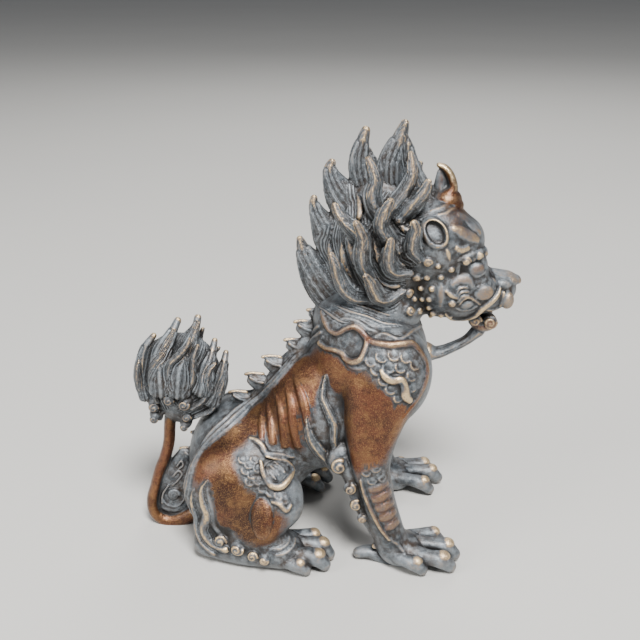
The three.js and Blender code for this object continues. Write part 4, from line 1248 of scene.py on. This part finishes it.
def patinated_bronze(colours):
    """Cast bronze with an old brown and grey patina. The hand has polished the broad muscles to a speckled
    red brown and a dull grey bloom stays in the carving.
    Raised carving and strand crests are painted paler as painted highlight, raised edges are rubbed back to
    golden metal that is also painted highlight, and the hollows, closed-in places and strand grooves hold
    dark grime and painted shade."""
    material = bpy.data.materials.new("patinated_cast_bronze")
    material.use_nodes = True
    tree = material.node_tree
    tree.nodes.clear()
    place = add_node(tree, "ShaderNodeTexCoord").outputs["Object"]

    def attribute(name):
        return add_node(tree, "ShaderNodeAttribute", {"attribute_name": name}).outputs["Fac"]

    def noise(size_mm, detail=4.0, rough=0.55):
        settings = {"Scale": 1000.0 / size_mm, "Detail": detail, "Roughness": rough}
        return add_node(tree, "ShaderNodeTexNoise", settings, {"Vector": place}).outputs["Fac"]

    def spread(value, low, high, bottom=0.0, top=1.0):
        settings = {1: low, 2: high, 3: bottom, 4: top}
        return add_node(tree, "ShaderNodeMapRange", settings, {0: value}).outputs[0]

    def sum_of(operation, *values):
        settings = {"operation": operation}
        links = {}
        for index, value in enumerate(values):
            if isinstance(value, (int, float)):
                settings[index] = value
            else:
                links[index] = value
        return add_node(tree, "ShaderNodeMath", settings, links).outputs[0]

    def blend(factor, first, second):
        settings = {"data_type": "RGBA"}
        links = {0: factor}
        for index, value in ((6, first), (7, second)):
            if isinstance(value, bpy.types.NodeSocket):
                links[index] = value
            else:
                settings[index] = list(value)
        return add_node(tree, "ShaderNodeMix", settings, links).outputs[2]

    names = ("bare", "rub", "raised", "hollow", "hair", "strand")
    bare, rub, raised, hollow, hair, strand = (attribute(name) for name in names)
    clouds, patches, mottle = noise(24.0), noise(8.0, 6.0, 0.65), noise(2.6, 5.0, 0.65)
    flecks, grain = noise(0.9, 3.0), noise(0.45, 2.0)

    brown = blend(spread(clouds, 0.42, 0.66), colours.brown, colours.brown_deep)
    brown = blend(spread(patches, 0.48, 0.66, 0.0, 0.38), brown, colours.fleck)
    brown = blend(spread(grain, 0.5, 0.64, 0.0, 0.55), brown, colours.fleck)
    brown = blend(spread(mottle, 0.5, 0.66, 0.0, 0.6), brown, colours.brown_deep)
    grey = blend(spread(patches, 0.42, 0.62), colours.grey, colours.grey_warm)
    grey = blend(spread(mottle, 0.45, 0.62, 0.0, 0.5), grey, colours.pale_bloom_and_highlight)
    grey = blend(spread(grain, 0.45, 0.65, 0.0, 0.6), grey, colours.grey_warm)
    wave = sum_of("COSINE", sum_of("MULTIPLY", strand, 2 * math.pi))
    crest = sum_of("MULTIPLY", hair, spread(wave, 0.1, 0.95))
    # Strand grooves, which are later darkened as painted shade between strands.
    painted_groove_shade = sum_of("MULTIPLY", hair, spread(wave, -0.2, -0.95))
    # Raised carving and strand crests are painted paler: painted highlight.
    high = sum_of("ADD", sum_of("MULTIPLY", raised, 0.65), sum_of("MULTIPLY", crest, 0.35))
    grey = blend(sum_of("MULTIPLY", high, spread(mottle, 0.3, 0.6, 0.55, 1.0)), grey, colours.pale_bloom_and_highlight)
    ragged = sum_of("ADD", bare, sum_of("MULTIPLY", sum_of("SUBTRACT", mottle, 0.5), 0.6))
    skin = spread(sum_of("SUBTRACT", ragged, sum_of("MULTIPLY", hollow, 0.7)), 0.3, 0.62)
    colour = blend(skin, grey, brown)

    # Hollows and closed-in places, with the strand grooves, are darkened towards grime: painted shade as
    # well as old dirt.
    painted_shade_and_dirt = sum_of("MULTIPLY", hollow, spread(mottle, 0.3, 0.6, 0.6, 1.0))
    painted_shade_and_dirt = sum_of("MAXIMUM", painted_shade_and_dirt, sum_of("MULTIPLY", painted_groove_shade, 0.55))
    colour = blend(spread(painted_shade_and_dirt, 0.12, 1.0, 0.0, 0.9), colour, colours.grime_and_painted_shade)
    plain = sum_of("SUBTRACT", 1.0, sum_of("MULTIPLY", hair, 0.55))
    # Crests turn worn and then bright gold: partly real wear, partly painted highlight.
    wear_and_highlight = sum_of("MULTIPLY", rub, sum_of("ADD", plain, crest))
    wear_and_highlight = sum_of("MULTIPLY", wear_and_highlight, spread(grain, 0.3, 0.65, 0.6, 1.15))
    wear_and_highlight = spread(sum_of("MULTIPLY", wear_and_highlight, spread(mottle, 0.35, 0.6, 0.6, 1.15)), 0.12, 0.75)
    colour = blend(spread(wear_and_highlight, 0.0, 0.45, 0.0, 0.85), colour, colours.worn_and_highlight)
    colour = blend(spread(wear_and_highlight, 0.4, 1.0, 0.0, 0.9), colour, colours.bright_rub_and_highlight)

    metal = spread(sum_of("ADD", skin, wear_and_highlight), 0.0, 1.0, 0.6, 0.85)
    rough = sum_of("SUBTRACT", spread(skin, 0.0, 1.0, 0.47, 0.37), sum_of("MULTIPLY", wear_and_highlight, 0.1))
    rough = sum_of("ADD", rough, spread(mottle, 0.3, 0.7, -0.06, 0.1))
    ridge = sum_of("MULTIPLY", hair, wave)
    strands = add_node(tree, "ShaderNodeBump", {"Strength": 0.5, "Distance": 0.00025}, {"Height": ridge})
    pits = sum_of("ADD", mottle, sum_of("MULTIPLY", flecks, 0.7))
    pits = sum_of("ADD", pits, sum_of("MULTIPLY", grain, 0.3))
    settings = {"Strength": 0.7, "Distance": 0.0004}
    surface = add_node(tree, "ShaderNodeBump", settings, {"Height": pits, "Normal": strands.outputs[0]})
    sockets = {"Base Color": colour, "Metallic": metal, "Roughness": rough, "Normal": surface.outputs[0]}
    wax = {"Coat Weight": 0.2, "Coat Roughness": 0.3}
    shader = add_node(tree, "ShaderNodeBsdfPrincipled", wax, sockets)
    add_node(tree, "ShaderNodeOutputMaterial", {}, {"Surface": shader.outputs[0]})
    return material


def painted_board(colours):
    """Matt painted board: pale and even, with a very slight roll of tone."""
    material = bpy.data.materials.new("matt_painted_board")
    material.use_nodes = True
    tree = material.node_tree
    shader = tree.nodes["Principled BSDF"]
    shader.inputs["Roughness"].default_value = 0.8
    place = add_node(tree, "ShaderNodeTexCoord").outputs["Object"]
    settings = {"Scale": 3.0, "Detail": 2.0}
    roll = add_node(tree, "ShaderNodeTexNoise", settings, {"Vector": place}).outputs["Fac"]
    darker = [channel * 0.94 for channel in colours.floor[:3]] + [1.0]
    settings = {"data_type": "RGBA", 6: list(colours.floor), 7: darker}
    tone = add_node(tree, "ShaderNodeMix", settings, {0: roll})
    tree.links.new(tone.outputs[2], shader.inputs["Base Color"])
    return material


# Stage

CAMERA_BACK, CAMERA_UP = 0.380, 0.264  # metres from the middle of the statue's foot
CAMERA_PITCH = 22.3  # degrees down
CAMERA_LENS, SENSOR_WIDTH = 50.625, 36.0  # mm
FLOOR_SIZE = 12.0  # metres
MIDDLE = Vector((0.0, 0.0, 0.09))  # what the lights are aimed at
# Place and size of each soft lamp, in metres.
LAMPS = {
    "key": ((0.3, -1.0, 1.65), 0.64),
    "fill": ((-1.2, -0.7, 0.8), 0.8),
    "back": ((0.2, 1.2, 1.2), 1.0),
}


class QILIN_OT_stage(bpy.types.Operator):
    """Set out the floor, the soft lights and the camera"""

    bl_idname = "qilin.stage"
    bl_label = "Stage"

    def execute(self, context):
        settings = context.scene.qilin_stage
        bpy.ops.object.select_all(action="DESELECT")
        bpy.ops.mesh.primitive_plane_add(size=FLOOR_SIZE, location=(0.0, 0.0, 0.0))
        floor = context.active_object
        floor.name = "floor"
        floor.data.materials.append(painted_board(settings))
        world = context.scene.world or bpy.data.worlds.new("studio")
        context.scene.world = world
        world.use_nodes = True
        background = world.node_tree.nodes["Background"]
        background.inputs["Color"].default_value = linear("#dfe3ea")
        background.inputs["Strength"].default_value = settings.sky
        for name, (place, size) in LAMPS.items():
            self.light(name, place, size, getattr(settings, name))
        bpy.ops.object.camera_add(
            location=(-LAYOUT_CENTRE_X * MM, -CAMERA_BACK, CAMERA_UP),
            rotation=(math.radians(90.0 - CAMERA_PITCH), 0.0, 0.0),
        )
        camera = context.active_object
        camera.name = "camera"
        camera.data.lens = CAMERA_LENS
        camera.data.sensor_width = SENSOR_WIDTH
        camera.data.dof.use_dof = False
        camera.data.clip_start = 0.01
        context.scene.camera = camera
        return {"FINISHED"}

    def light(self, name, place, size, power):
        bpy.ops.object.light_add(type="AREA", location=place)
        lamp = bpy.context.active_object
        lamp.name = name
        lamp.data.shape = "DISK"
        lamp.data.size = size
        lamp.data.energy = power
        aim = MIDDLE - Vector(place)
        lamp.rotation_euler = aim.to_track_quat("-Z", "Y").to_euler()


class QILIN_PT_panel(bpy.types.Panel):
    bl_label = "Bronze qilin"
    bl_idname = "QILIN_PT_panel"
    bl_space_type = "VIEW_3D"
    bl_region_type = "UI"
    bl_category = "Qilin"

    def draw(self, context):
        for group in GROUPS:
            settings = getattr(context.scene, group)
            for name in settings.bl_rna.properties.keys():
                if name not in {"rna_type", "name"}:
                    self.layout.prop(settings, name)
        for operator in STEPS:
            self.layout.operator(operator.bl_idname)


STEPS = [
    QILIN_OT_flesh,
    QILIN_OT_mane,
    QILIN_OT_head,
    QILIN_OT_beard,
    QILIN_OT_back,
    QILIN_OT_collar,
    QILIN_OT_legs,
    QILIN_OT_tail,
    QILIN_OT_cast,
    QILIN_OT_stage,
]
GROUPS = {"qilin_sizes": QilinSizes, "qilin_colours": QilinColours, "qilin_stage": QilinStage}


def register():
    for kind in [*GROUPS.values(), *STEPS, QILIN_PT_panel]:
        bpy.utils.register_class(kind)
    for name, kind in GROUPS.items():
        setattr(bpy.types.Scene, name, bpy.props.PointerProperty(type=kind))


def unregister():
    for name in GROUPS:
        delattr(bpy.types.Scene, name)
    for kind in reversed([*GROUPS.values(), *STEPS, QILIN_PT_panel]):
        bpy.utils.unregister_class(kind)


def main():
    register()
    bpy.ops.qilin.flesh()
    bpy.ops.qilin.mane()
    bpy.ops.qilin.head()
    bpy.ops.qilin.beard()
    bpy.ops.qilin.back()
    bpy.ops.qilin.collar()
    bpy.ops.qilin.legs()
    bpy.ops.qilin.tail()
    bpy.ops.qilin.cast()
    bpy.ops.qilin.stage()


if __name__ == "__main__":
    main()
